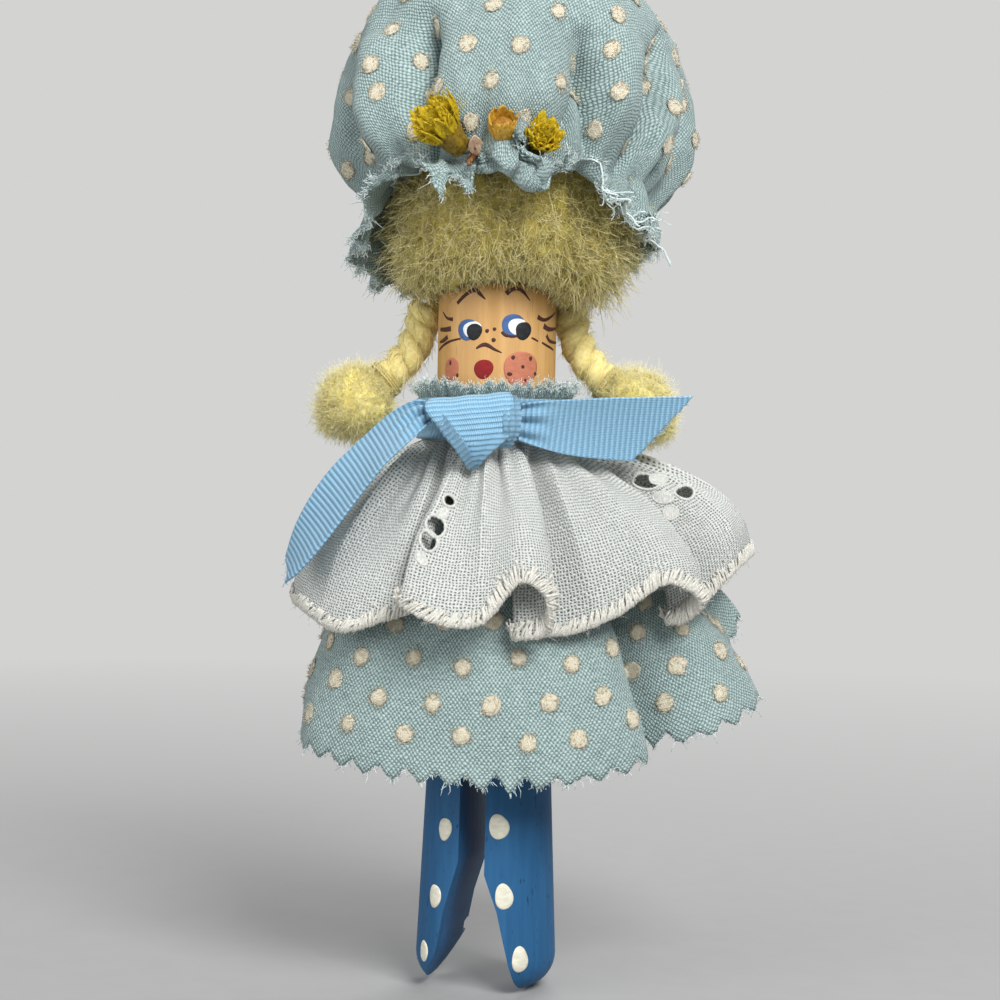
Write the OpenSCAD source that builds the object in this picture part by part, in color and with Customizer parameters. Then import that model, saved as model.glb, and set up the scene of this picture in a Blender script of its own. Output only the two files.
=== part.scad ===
// Clothespin doll. A turned wooden pin wears a gathered cotton dress, an eyelet frill,
// a tied ribbon, a wool wig with two plaits, and a stuffed mob cap with dried flowers.
// The pin stands along +Z with its feet at zero, and the painted face looks along -Y.
// The tables' shares run to the right (+X), then to the front (-Y), then upwards.

/* [Clothespin] */
// Length of the wooden pin
pin_len = 95; // [85:1:110]
// Diameter of the head and barrel
pin_d = 16; // [13:0.5:18]
// Outward splay of each leg at its foot
splay = 1.5; // [0.4:0.1:2.5]
// Height at which the legs begin to splay
splay_z = 40; // [30:1:45]
// Rounding of the head's top rim
head_rim_r = 1.6; // [0.6:0.1:3]
// Rounding of the outer corners of the feet
foot_r = 4.5; // [2:0.1:6]
// Width of the sawn slot
slot_w = 3.6; // [2.5:0.1:4.5]
// Depth of the slot from the feet to its root
slot_len = 54; // [45:1:60]
// Reach of the slot's mouth from the pin's axis on the left leg
mouth_left = 7.4; // [5:0.1:8]
// Height of the flare on the left leg
mouth_left_len = 18; // [12:0.5:22]
// Reach of the slot's mouth from the pin's axis on the right leg
mouth_right = 5.4; // [4:0.1:7]
// Height of the flare on the right leg
mouth_right_len = 14.5; // [10:0.5:20]
// Edge of the chip that is split off one leg
chip_size = 1.5; // [0.6:0.1:2]
// Height of that chip above the feet
chip_z = 8.4; // [6:0.2:11]

/* [Dress] */
// Turn of the clothes and the hair on the pin
dress_turn = 14; // [0:1:25]
// Thickness of the dotted cotton
cotton_t = 0.5; // [0.3:0.05:0.7]
// Play between two layers that lie on each other
layer_gap = 0.15; // [0.1:0.01:0.25]
// Height of the head above the middle of the gathered neck
head_h = 19; // [17:0.5:21]
// Height of the standing collar above the gathers
collar_h = 5.6; // [3:0.1:7]
// Outward lean of the collar
collar_flare = 1.1; // [0.5:0.1:2]
// Reach of the hem to either side
skirt_half_w = 36; // [30:0.5:42]
// Reach of the hem to the front and the back
skirt_half_d = 18; // [15:0.5:21]
// Length of the skirt from the neck to its hem
skirt_len = 42; // [38:0.5:46]
// Depth of a pinked tooth
tooth_h = 2.2; // [1:0.1:3]
// Diameter of the gathering thread
thread_d = 0.5; // [0.3:0.05:0.6]

/* [Eyelet frill] */
// Thickness of the open weave
frill_t = 0.45; // [0.3:0.05:0.6]
// How far the frill stops short of the skirt at either side
frill_short = 1; // [0:0.1:2]
// How far the frill stands out past the skirt at the front and the back
frill_stand = 3; // [2:0.1:5]
// Drop of the frill from the ribbon to its lowest scallop
frill_drop = 22.5; // [20:0.5:25]
// Diameter of the whipped edging
edging_d = 1; // [0.8:0.05:1.2]

/* [Ribbon] */
// Width of the grosgrain ribbon
ribbon_w = 9.5; // [7:0.1:10]
// Thickness of the ribbon
ribbon_t = 0.5; // [0.3:0.05:0.6]
// Width of the knot
knot_w = 10; // [8:0.1:11]
// Height of the knot, with its lower corner
knot_h = 10; // [8:0.1:11]
// Thickness of the knot
knot_t = 3.6; // [2.5:0.1:4.5]
// Reach of the right tail from the knot
tail_right_reach = 20; // [15:0.5:24]
// Reach of the left tail from the knot
tail_left_reach = 20.5; // [17:0.5:23]
// Drop of the left tail
tail_left_drop = 21.5; // [16:0.5:23]
// Slant of the scissor cut at the tails' ends
tail_cut = 6; // [3:0.5:8]

/* [Hair] */
// Width of the fringe
fringe_w = 32.5; // [28:0.5:37]
// Depth of the fringe from front to back
fringe_d = 25; // [21:0.5:28]
// Height of the fringe
fringe_h = 19.5; // [16:0.5:23]
// Diameter of a twisted plait
plait_d = 4; // [3:0.1:4.5]
// Gap between a tuft and the frill below it
tuft_clear = 2; // [0.5:0.1:3]
// Reach of a plait from its root to its tuft
plait_reach = 5.4; // [4:0.2:7]
// Diameter of the tufts
tuft_d = 12.4; // [10:0.2:13]
// Length of the tufts
tuft_len = 11.6; // [9:0.2:13]
// Thickness of the thread that ties a plait
tie_d = 0.6; // [0.4:0.05:0.8]
// Swing that a plait is given room for
plait_swing = 30; // [0:1:32]

/* [Mob cap] */
// Backward tilt of the cap
cap_tilt = 18; // [10:1:25]
// Height of the crown's widest line above the gathers
crown_low_h = 16.5; // [14:0.5:19]
// Height of the crown above its widest line
crown_top_h = 19.5; // [16:0.5:22]
// Depth of the ruffle below the gathers
ruffle_h = 8.5; // [6:0.5:10]
// Outward flare of the ruffle
ruffle_flare = 2.4; // [1.5:0.1:4]

/* [Dried flowers] */
// Diameter of the left button flower
flower_left_d = 6.4; // [5:0.1:8]
// Height of the left button flower
flower_left_h = 7; // [6:0.1:10]
// Diameter of the right button flower
flower_right_d = 5.4; // [4:0.1:6]
// Height of the right button flower
flower_right_h = 5; // [3:0.1:6]
// Diameter of the papery bud
bud_d = 4; // [3:0.1:5]
// Height of the papery bud
bud_h = 4.6; // [3:0.1:6]
// Diameter of the stems
stem_d = 0.9; // [0.6:0.05:1.1]

/* [Hidden] */

$fn = 48;
// Overrun of a cut past the surface that it opens
overrun = 1;
full_turn = 360;

// The pin
pin_r = pin_d / 2;
feet_r = pin_r + splay;
arc_steps = 10;

// Radii of the layers that are wound round the neck, from the wood outwards
neck_z = pin_len - head_h;
dress_neck_r = pin_r + layer_gap + cotton_t / 2;
thread_ring_r = dress_neck_r + cotton_t / 2 + layer_gap + thread_d / 2;
frill_neck_r = thread_ring_r + thread_d / 2 + layer_gap + frill_t / 2;
band_in_r = frill_neck_r + frill_t / 2 + layer_gap;
band_out_r = band_in_r + ribbon_t;

// The dress. Each row of its hem is the angle of the gather that it hangs from, the
// shares of the reach to the side and to the front, the rise above hem_z as a share of
// the skirt's length, and how early the cloth stands out from the neck.
hem_z = neck_z - skirt_len;
skirt_hem_shares = [
  [-90, -0.71, 0.00, 0.00, 1.8], [-68, -0.65, 0.44, -0.03, 1.7],
  [-45, -0.45, 0.74, -0.07, 1.6], [-20, -0.17, 0.92, -0.09, 1.3],
  [0, 0.05, 0.96, -0.10, 1.3], [18, 0.27, 0.92, -0.09, 1.3],
  [33, 0.48, 0.80, -0.06, 1.3], [43, 0.57, 0.58, -0.02, 1.3],
  [49, 0.49, 0.40, 0.00, 1.3], [55, 0.54, 0.25, 0.01, 1.3],
  [63, 0.72, 0.36, 0.02, 1.2], [74, 0.89, 0.33, 0.07, 1.2],
  [86, 1.00, 0.11, 0.13, 1.2], [95, 1.00, -0.14, 0.17, 1.2],
  [103, 0.92, -0.36, 0.29, 1.2], [111, 0.96, -0.55, 0.38, 1.2],
  [122, 0.77, -0.68, 0.20, 1.3], [140, 0.55, -0.86, 0.05, 1.4],
  [158, 0.28, -0.80, 0.02, 1.5], [176, 0.05, -0.95, 0.00, 1.5],
  [194, -0.17, -0.83, 0.01, 1.5], [212, -0.36, -0.91, 0.00, 1.5],
  [232, -0.53, -0.62, 0.01, 1.6], [252, -0.67, -0.38, 0.00, 1.7]
];
skirt_columns = 72;
skirt_rows = 6;

// The frill, with the same kind of rows
frill_half_w = skirt_half_w - frill_short;
frill_half_d = skirt_half_d + frill_stand;
frill_top_z = neck_z + ribbon_w / 4;
frill_break_z = neck_z - ribbon_w / 2 - layer_gap * 2;
frill_hem_z = frill_break_z - frill_drop;
frill_hem_shares = [
  [-90, -0.77, 0.02, 0.18, 1.8], [-72, -0.70, 0.33, 0.12, 1.8],
  [-55, -0.57, 0.62, 0.03, 1.7], [-43, -0.41, 0.72, 0.10, 1.6],
  [-36, -0.29, 0.70, 0.17, 1.5], [-30, -0.27, 0.81, 0.24, 1.5],
  [-24, -0.33, 0.94, 0.22, 1.5], [-14, -0.20, 1.00, 0.12, 1.5],
  [-4, -0.04, 1.02, 0.12, 1.5], [6, 0.10, 1.03, 0.36, 1.5],
  [12, 0.21, 0.99, 0.26, 1.5], [17, 0.20, 0.88, 0.06, 1.5],
  [22, 0.09, 0.82, 0.02, 1.5], [28, 0.12, 0.72, 0.03, 1.5],
  [34, 0.29, 0.71, 0.05, 1.5], [42, 0.46, 0.73, 0.16, 1.7],
  [51, 0.64, 0.74, 0.35, 2.0], [58, 0.78, 0.62, 0.25, 2.2],
  [63, 0.73, 0.50, 0.12, 2.4], [68, 0.66, 0.42, 0.10, 2.7],
  [74, 0.76, 0.35, 0.16, 3.2], [83, 0.89, 0.28, 0.36, 4.0],
  [93, 0.98, 0.05, 0.48, 4.5], [104, 1.01, -0.26, 0.47, 4.2],
  [117, 0.92, -0.56, 0.33, 3.2], [130, 0.74, -0.76, 0.21, 2.4],
  [144, 0.52, -0.86, 0.27, 1.8], [158, 0.36, -1.00, 0.18, 1.7],
  [172, 0.13, -0.88, 0.26, 1.7], [187, -0.06, -1.01, 0.18, 1.7],
  [201, -0.24, -0.86, 0.26, 1.7], [215, -0.45, -0.92, 0.18, 1.7],
  [229, -0.56, -0.66, 0.25, 1.7], [243, -0.72, -0.52, 0.18, 1.8],
  [257, -0.72, -0.24, 0.24, 1.8]
];
frill_columns = 70;
frill_rows = 6;
edging_sides = 6;

// The ribbon. A row of a tail is its reach, its lead to the front, its rise, its twist in
// degrees, and its width, each but the twist as a share.
knot_x = -2.4;
knot_back = band_out_r + layer_gap;
tail_joint_gap = 0.6;
tail_start_right = knot_x + knot_w / 2 + tail_joint_gap;
tail_start_left = knot_x - knot_w / 2 - tail_joint_gap;
tail_front = knot_back + knot_t / 2;
tail_right_shares = [
  [0.00, 1.00, 0.06, 0, 0.40], [0.12, 1.01, 0.04, 8, 0.62], [0.35, 0.98, 0.00, 16, 0.88],
  [0.65, 0.90, -0.01, 18, 0.94], [0.98, 0.76, -0.02, 16, 1.00]
];
tail_left_shares = [
  [0.00, 1.00, 0.00, 15, 0.32], [0.16, 1.02, -0.01, 50, 0.60], [0.38, 0.98, -0.08, 58, 0.92],
  [0.62, 0.92, -0.29, 55, 1.00], [0.83, 0.85, -0.58, 60, 1.00], [0.96, 0.78, -0.86, 70, 0.80],
  [1.00, 0.76, -1.00, 76, 0.45]
];
tail_stations = 14;
right_cut_share = 1;
left_cut_share = 0.3;

// The hair
fringe_x = 1.9;
fringe_front = 1.6;
fringe_overhang = 0.4;
fringe_sag = 2.8;
fringe_mid_z = pin_len + fringe_h / 2 - fringe_overhang;
fringe_round_share = 0.66;
fringe_columns = 32;
fringe_rows = 14;
plait_r = plait_d / 2;
plait_lobe_share = 0.16;
plait_far_r = plait_r * (1 + plait_lobe_share);
plait_root_r = pin_r + plait_far_r + layer_gap * 3;
plait_root_drop = 4;
plait_root_z = pin_len - plait_root_drop;
plait_root_back = 3.8;
plait_root_x = sqrt(pow(plait_root_r, 2) - pow(plait_root_back, 2));
// A row is the reach, the lead to the front and the drop from the root
plait_shares = [
  [0.00, 0.00, 0.00], [0.10, 0.06, 0.30], [0.38, 0.20, 0.62], [0.76, 0.32, 0.88], [1.00, 0.38, 1.00]
];
plait_lead = 5.4;
// A plait ends where its tuft clears the frill
tuft_fall_share = 0.24;
plait_drop = plait_root_z - frill_break_z - tuft_clear - tuft_d / 2 - tuft_len * tuft_fall_share;
plait_stations = 16;
plait_sides = 12;
plait_turns = 2.2;
root_rounds = 3;
tuft_gap = 0.3;
tie_share = 0.92;

// The mob cap
gather_share = 0.78;
cap_x = 1.8;
cap_front = 0.5;
cap_rise = 1.6;
cap_z = fringe_mid_z + cap_rise;
gather_room_w = 2.2;
gather_room_d = 2.7;
crown_half_w = (fringe_w / 2 + gather_room_w) / gather_share;
crown_half_d = (fringe_d / 2 + gather_room_d) / gather_share;
gather_rise = asin(sqrt(1 - pow(gather_share, 2)));
crown_low_r = crown_low_h / sin(gather_rise);
crown_pole_share = 0.03;
cap_columns = 48;
crown_rows = 8;
ruffle_rows = 3;
pleats = 12;
pleat_share = 0.055;
pleat_uneven_share = 0.03;
ruffle_wave_share = 0.04;
ruffle_right_share = 0.4;
ruffle_lift_share = 0.95;
ruffle_lift_bearing = -25;
stuffing_fill_share = 0.86;
stuffing_floor = 1.5;
hair_ceiling = stuffing_floor - layer_gap * 2;

// The flowers, each by its bearing and its rise on the crown, both in degrees
flower_spread = function(a, b) atan((a + b) / 2 / (crown_half_d * gather_share));
bud_at = [-6, -37];
petal_at = [-14, -36];
flower_left_at = [bud_at[0] - flower_spread(flower_left_d, bud_d), -32];
flower_right_at = [bud_at[0] + flower_spread(flower_right_d, bud_d), -35];
flower_lean = 62;
bud_lean = 50;
petal_lean = 35;
flower_core_share = 0.42;
bud_wall = 0.5;
petal_len = 3;
petal_w = 2;
petal_t = 0.6;
stem_shares = [0.5, 1];

// Plain vector work
function lerp(a, b, t) = a + (b - a) * t;
function unit(v) = v / norm(v);
function spline(p, q, r, s, t) =
  (2 * q + (r - p) * t + (2 * p - 5 * q + 4 * r - s) * pow(t, 2)
    + (3 * q - p - 3 * r + s) * pow(t, 3)) / 2;

// A closed table whose first column is an angle: each lap adds a full turn to it
function lap_row(table, k) =
  let (n = len(table), lap = floor(k / n), row = table[k - lap * n])
  [for (c = [0:len(row) - 1]) c == 0 ? row[0] + full_turn * lap : row[c]];
function lap_at(table, u) =
  let (k = floor(u))
  spline(lap_row(table, k - 1), lap_row(table, k), lap_row(table, k + 1), lap_row(table, k + 2), u - k);

// An open table, from 0 at its first row to 1 at its last
function open_row(table, k) = table[max(0, min(len(table) - 1, k))];
function open_at(table, share) =
  let (u = share * (len(table) - 1), k = min(floor(u), len(table) - 2))
  spline(open_row(table, k - 1), open_row(table, k), open_row(table, k + 1), open_row(table, k + 2), u - k);

// Places: bearing 0 is the front, and +90 the picture's right
function bearing_point(bearing, r, z) = [r * sin(bearing), -r * cos(bearing), z];

// Faces of a band of rings, each ring with the same count of points
function band_faces(rings, count, first = 0) =
  [for (j = [0:rings - 2], i = [0:count - 1])
    let (a = first + j * count + i, b = first + j * count + (i + 1) % count)
    each [[a, b, b + count], [a, b + count, a + count]]];
function fan_faces(start, count) = [for (i = [1:count - 2]) [start, start + i, start + i + 1]];
function flipped(faces) = [for (f = faces) [f[2], f[1], f[0]]];

// A solid swept through rings, closed by a fan at each end
module sweep(rings) {
  count = len(rings[0]);
  last = (len(rings) - 1) * count;
  polyhedron(
    points = [for (ring = rings) each ring],
    faces = concat(
      flipped(band_faces(len(rings), count)),
      fan_faces(0, count),
      flipped(fan_faces(last, count))
    )
  );
}

// A closed loop swept through rings
module loop_sweep(rings) {
  count = len(rings[0]);
  polyhedron(
    points = [for (ring = concat(rings, [rings[0]])) each ring],
    faces = band_faces(len(rings) + 1, count)
  );
}

// Cloth of a given thickness on both sides of a grid of rows, each row a closed ring
function grid_normal(grid, j, i) =
  let (n = len(grid[0]), up = grid[min(j + 1, len(grid) - 1)][i] - grid[max(j - 1, 0)][i])
  unit(cross(grid[j][(i + 1) % n] - grid[j][(i + n - 1) % n], up));
function offset_grid(grid, by) =
  [for (j = [0:len(grid) - 1], i = [0:len(grid[0]) - 1]) grid[j][i] + by * grid_normal(grid, j, i)];

module cloth(grid, thickness, closed_top = false) {
  rows = len(grid);
  n = len(grid[0]);
  inner = rows * n;
  outer_last = (rows - 1) * n;
  inner_last = inner + outer_last;
  rim = function(a, b)
    [for (i = [0:n - 1]) let (k = (i + 1) % n) each [[a + i, a + k, b + k], [a + i, b + k, b + i]]];
  polyhedron(
    points = concat(offset_grid(grid, thickness / 2), offset_grid(grid, -thickness / 2)),
    faces = concat(
      flipped(band_faces(rows, n)),
      band_faces(rows, n, inner),
      rim(0, inner),
      closed_top ? flipped(fan_faces(outer_last, n)) : rim(inner_last, outer_last),
      closed_top ? fan_faces(inner_last, n) : []
    )
  );
}

module turned() rotate([0, 0, dress_turn]) children();

// Clothespin

function pin_profile() = concat(
  [[0, 0]],
  [for (i = [0:arc_steps])
    let (a = -90 + 90 * i / arc_steps)
    [feet_r - foot_r + foot_r * cos(a), foot_r + foot_r * sin(a)]],
  [[pin_r, splay_z]],
  [for (i = [0:arc_steps])
    let (a = 90 * i / arc_steps)
    [pin_r - head_rim_r + head_rim_r * cos(a), pin_len - head_rim_r + head_rim_r * sin(a)]],
  [[0, pin_len]]
);

module slot_outline() {
  root = slot_len - slot_w / 2;
  polygon([
    [-mouth_left, -overrun], [mouth_right, -overrun], [mouth_right, 0], [slot_w / 2, mouth_right_len],
    [slot_w / 2, root], [-slot_w / 2, root], [-slot_w / 2, mouth_left_len], [-mouth_left, 0]
  ]);
  translate([0, root]) circle(d = slot_w);
}

// Splinter lost from the inner back edge of the left leg
module leg_chip() {
  edge_x = -lerp(mouth_left, slot_w / 2, chip_z / mouth_left_len);
  leg_r = lerp(feet_r, pin_r, chip_z / splay_z);
  translate([edge_x, sqrt(pow(leg_r, 2) - pow(edge_x, 2)), chip_z])
    rotate([0, 45, 0]) cube(chip_size, center = true);
}

module clothespin() color("BurlyWood") difference() {
  rotate_extrude() polygon(pin_profile());
  translate([0, feet_r + overrun, 0]) rotate([90, 0, 0])
    linear_extrude(height = 2 * (feet_r + overrun)) slot_outline();
  leg_chip();
}

// Dress

function hem_point(row, half_w, half_d, base_z, length) =
  [row[1] * half_w, -row[2] * half_d, base_z + row[3] * length];

// A gathered cloth falls from a ring at the neck to its hem, and a large stand brings it out early
function hang(neck, hem, share, stand) =
  let (out = 1 - pow(1 - share, stand))
  [lerp(neck[0], hem[0], out), lerp(neck[1], hem[1], out), lerp(neck[2], hem[2], share)];

function tooth(i) = (i % 2 == 0 ? 1 : -1) * tooth_h / 2;

function hem_rows(table, columns) = [for (i = [0:columns - 1]) lap_at(table, i * len(table) / columns)];

// The dress from its pinked hem up to its pinked collar
function dress_grid() =
  let (rows = hem_rows(skirt_hem_shares, skirt_columns),
       necks = [for (row = rows) bearing_point(row[0], dress_neck_r, neck_z - ribbon_w / 2)],
       hems = [for (row = rows) hem_point(row, skirt_half_w, skirt_half_d, hem_z, skirt_len)],
       columns = [0:skirt_columns - 1])
  concat(
    [[for (i = columns) hems[i] + [0, 0, tooth(i)]]],
    [for (j = [skirt_rows - 1:-1:0])
      [for (i = columns) hang(necks[i], hems[i], j / skirt_rows, rows[i][4])]],
    [[for (row = rows) bearing_point(row[0], dress_neck_r, neck_z + collar_h / 2)]],
    [[for (i = columns)
      bearing_point(rows[i][0], dress_neck_r + collar_flare, neck_z + collar_h + tooth(i) / 2)]]
  );

module dress() color("PaleTurquoise") turned() cloth(dress_grid(), cotton_t);

module dress_thread() color("White")
  translate([0, 0, neck_z]) rotate_extrude() translate([thread_ring_r, 0]) circle(d = thread_d);

// Eyelet frill

function frill_hem(row) = hem_point(row, frill_half_w, frill_half_d, frill_hem_z, frill_drop);

function frill_grid() =
  let (rows = hem_rows(frill_hem_shares, frill_columns))
  concat(
    [for (j = [frill_rows:-1:0])
      [for (row = rows)
        hang(bearing_point(row[0], frill_neck_r, frill_break_z), frill_hem(row), j / frill_rows, row[4])]],
    [[for (row = rows) bearing_point(row[0], frill_neck_r, frill_top_z)]]
  );

module eyelet_frill() color("White") turned() cloth(frill_grid(), frill_t);

// The edging carries the frill's cut edge on, along the way the cloth hangs there
module frill_edging() color("Ivory") turned() {
  grid = frill_grid();
  hem = grid[0];
  n = len(hem);
  below = edging_d / 2 + layer_gap;
  loop_sweep([for (i = [0:n - 1])
    let (along = unit(hem[(i + 1) % n] - hem[(i + n - 1) % n]),
         fall = hem[i] - grid[1][i],
         down = unit(fall - along * (fall * along)),
         side = cross(along, down))
    [for (k = [0:edging_sides - 1])
      let (a = full_turn * k / edging_sides)
      hem[i] + down * below + edging_d / 2 * (side * cos(a) + down * sin(a))]]);
}

// Ribbon

module ribbon_band() color("SkyBlue")
  translate([0, 0, neck_z - ribbon_w / 2]) difference() {
    cylinder(h = ribbon_w, r = band_out_r);
    translate([0, 0, -overrun]) cylinder(h = ribbon_w + 2 * overrun, r = band_in_r);
  }

// The knot is a folded pad that is drawn to a corner below
module ribbon_knot() color("SkyBlue") turned()
  translate([knot_x, -knot_back, neck_z]) rotate([90, 0, 0]) hull() {
    pad_r = knot_t / 2;
    top = knot_h / 2 - pad_r;
    side = knot_w / 2 - pad_r;
    corners = [[-side, top], [side, top], [side, -top / 3], [-side, -top / 4], [0, -top]];
    for (c = corners) translate([c[0], c[1], pad_r]) sphere(r = pad_r, $fn = 24);
  }

// Rings of a flat strip: each has four corners across the ribbon's width
function strip_rings(table, size, start, cut) =
  [for (s = [0:tail_stations])
    let (share = s / tail_stations, row = open_at(table, share),
         place = function(q) let (w = open_at(table, q))
           start + [w[0] * size[0], -(w[1] - 1) * size[1], w[2] * size[2]],
         step = 1 / tail_stations,
         along = unit(place(min(1, share + step)) - place(max(0, share - step))),
         side = unit(cross([0, 1, 0], along)), back = cross(along, side),
         wide = side * cos(row[3]) + back * sin(row[3]), thick = cross(along, wide),
         half = row[4] * ribbon_w / 2, slant = s == tail_stations ? cut / 2 : 0)
    [for (c = [[-1, -1], [1, -1], [1, 1], [-1, 1]])
      place(share) + c[0] * (half * wide - slant * along) + c[1] * ribbon_t / 2 * thick]];

module ribbon_tail_right() color("SkyBlue") turned()
  sweep(strip_rings(tail_right_shares, [tail_right_reach, tail_front, ribbon_w],
    [tail_start_right, -tail_front, neck_z], tail_cut * right_cut_share));

module ribbon_tail_left() color("SkyBlue") turned()
  sweep(strip_rings(tail_left_shares, [-tail_left_reach, tail_front, tail_left_drop],
    [tail_start_left, -tail_front, neck_z + ribbon_w / 6], tail_cut * left_cut_share));

// Hair

// Height and reach are squared off a little, as a roll of fleece is, and it sags beside the face
function swell(v) = sign(v) * pow(abs(v), fringe_round_share);

module fringe_roll() {
  rings = [for (j = [1:fringe_rows - 1])
    let (rise = -90 + 180 * j / fringe_rows, out = swell(cos(rise)), up = swell(sin(rise)))
    [for (i = [0:fringe_columns - 1])
      let (b = full_turn * i / fringe_columns)
      [fringe_x + fringe_w / 2 * out * sin(b),
       -fringe_front - fringe_d / 2 * out * cos(b),
       fringe_mid_z + fringe_h / 2 * up + fringe_sag * min(0, up) * pow(sin(b), 2)]]];
  sweep(rings);
}

module hair_fringe() color("Khaki") turned() difference() {
  fringe_roll();
  translate([0, 0, -overrun]) cylinder(h = pin_len + overrun + layer_gap, r = pin_r + layer_gap);
  cap_place() translate([-crown_half_w, -crown_half_d, hair_ceiling])
    cube([crown_half_w * 2, crown_half_d * 2, crown_low_h + crown_top_h]);
  for (side = [-1, 1]) plait_room(side);
}

// Room in the fleece for a plait's root and for its swing
module plait_room(side) {
  room = plait_far_r + layer_gap * 2;
  translate([side * plait_root_x, plait_root_back, plait_root_z]) {
    sphere(r = room);
    for (swing = [0, plait_swing])
      rotate([0, -side * swing, 0]) rotate([0, 180, 0]) cylinder(h = plait_drop, r = room);
  }
}

function plait_place(side, share) =
  let (row = open_at(plait_shares, share))
  [side * (plait_root_x + row[0] * plait_reach), plait_root_back - row[1] * plait_lead,
   plait_root_z - row[2] * plait_drop];
function plait_along(side, share) =
  let (step = 1 / plait_stations)
  unit(plait_place(side, min(1, share + step)) - plait_place(side, max(0, share - step)));

// Two strands twisted on each other show as a section of two lobes that turns
function plait_ring(side, share, thin, centre) =
  let (along = plait_along(side, share), across = unit(cross([0, 1, 0], along)), back = cross(along, across))
  [for (k = [0:plait_sides - 1])
    let (a = full_turn * k / plait_sides,
         lobe = 1 + plait_lobe_share * cos(2 * (a - side * full_turn * plait_turns * share)))
    centre + thin * plait_r * lobe * (across * cos(a) + back * sin(a))];

module plait(side) {
  root = plait_place(side, 0);
  out = -plait_along(side, 0);
  sweep(concat(
    [for (k = [0:root_rounds - 1])
      let (a = 80 - 80 * k / root_rounds)
      plait_ring(side, 0, cos(a), root + out * plait_r * sin(a))],
    [for (s = [0:plait_stations])
      let (share = s / plait_stations)
      plait_ring(side, share, 1, plait_place(side, share))]
  ));
}

// Sets a child that stands on zero along a plait's end
module at_plait(side, share) {
  along = plait_along(side, share);
  translate(plait_place(side, share))
    rotate([0, acos(along[2]), atan2(along[1], along[0])]) children();
}

function tuft_profile() = concat(
  [[0, 0]],
  [for (i = [0:2 * arc_steps])
    let (share = i / (2 * arc_steps), a = 180 * share)
    [i == 2 * arc_steps ? 0 : lerp(plait_r, 0, share) + (tuft_d / 2 - plait_r / 2) * sin(a),
     tuft_len * (1 - cos(a)) / 2]]
);

module tuft(side) at_plait(side, 1) translate([0, 0, tuft_gap]) rotate_extrude() polygon(tuft_profile());

module plait_tie(side) at_plait(side, tie_share)
  rotate_extrude() translate([plait_far_r + layer_gap + tie_d / 2, 0]) circle(d = tie_d);

module plait_left() color("Khaki") turned() plait(-1);
module plait_right() color("Khaki") turned() plait(1);
module tuft_left() color("Khaki") turned() tuft(-1);
module tuft_right() color("Khaki") turned() tuft(1);
module plait_tie_left() color("Gold") turned() plait_tie(-1);
module plait_tie_right() color("Gold") turned() plait_tie(1);

// Mob cap

module cap_place() translate([cap_x, -cap_front, cap_z]) rotate([-cap_tilt, 0, 0]) children();

function pleat(b) = pleat_share * cos(pleats * b) + pleat_uneven_share * cos((pleats / 2 + 1) * b);

// A place on the crown: rise runs from the gathers, below zero, to 90 at the top
function crown_point(b, rise, grow = 0) =
  let (fade = 1 - pow(max(0, (rise + gather_rise) / (90 + gather_rise)), 0.8),
       r = cos(rise) * (1 + pleat(b) * fade))
  [(crown_half_w + grow) * r * sin(b), -(crown_half_d + grow) * r * cos(b),
   crown_low_h + sin(rise) * (rise < 0 ? crown_low_r : crown_top_h + grow)];

// The ruffle flares from the gathers, waves, is turned up at the front and is shorter at the right
function ruffle_point(b, share) =
  let (lift = ruffle_lift_share * pow(max(0, cos(b - ruffle_lift_bearing)), 3),
       wave = 1 + ruffle_wave_share * share * cos(pleats * b * 2),
       edge = crown_point(b, -gather_rise),
       out = [sin(b), -cos(b)] * ruffle_flare * share * (1 + lift))
  [edge[0] * wave + out[0], edge[1] * wave + out[1],
   -ruffle_h * share * (1 - lift) * (1 - ruffle_right_share * max(0, sin(b)))];

function cap_grid() =
  let (bearings = [for (i = [0:cap_columns - 1]) full_turn * i / cap_columns],
       top_rise = acos(crown_pole_share))
  concat(
    [for (j = [ruffle_rows:-1:1]) [for (b = bearings) ruffle_point(b, j / ruffle_rows)]],
    [for (j = [0:crown_rows])
      [for (b = bearings) crown_point(b, lerp(-gather_rise, top_rise, j / crown_rows))]]
  );

module mob_cap() color("PaleTurquoise") turned() cap_place() cloth(cap_grid(), cotton_t, closed_top = true);

// Loose fibre that keeps the crown round
module cap_stuffing() color("WhiteSmoke") turned() cap_place() {
  floor_rise = -asin((crown_low_h - stuffing_floor) / crown_low_r);
  rings = [for (j = [0:crown_rows])
    let (rise = lerp(floor_rise, acos(crown_pole_share), j / crown_rows))
    [for (i = [0:fringe_columns - 1])
      let (b = full_turn * i / fringe_columns)
      [crown_half_w * stuffing_fill_share * cos(rise) * sin(b),
       -crown_half_d * stuffing_fill_share * cos(rise) * cos(b),
       crown_low_h + sin(rise) * (rise < 0 ? crown_low_r : crown_top_h * stuffing_fill_share)]]];
  sweep(rings);
}

// The thread lies in the cap's waist, outside the gathers
module cap_thread() color("White") turned() cap_place() {
  clear = cotton_t / 2 + layer_gap + thread_d / 2;
  spine = [for (i = [0:cap_columns - 1])
    let (b = full_turn * i / cap_columns, p = crown_point(b, -gather_rise))
    p + clear * [2 * sin(b), -2 * cos(b), 1]];
  loop_sweep([for (i = [0:cap_columns - 1])
    let (b = full_turn * i / cap_columns)
    [for (k = [0:edging_sides - 1])
      let (a = full_turn * k / edging_sides)
      spine[i] + thread_d / 2 * [sin(b) * cos(a), -cos(b) * cos(a), sin(a)]]]);
}

// Dried flowers

// A seat on the crown's wall, far enough out for a base of radius r
function seat(at, r) = crown_point(at[0], at[1], r + cotton_t + layer_gap * 2);

// Stands a child on its seat, leaning away from the crown
module on_crown(at, r, lean) translate(seat(at, r)) rotate([0, 0, at[0]]) rotate([lean, 0, 0]) children();

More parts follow.
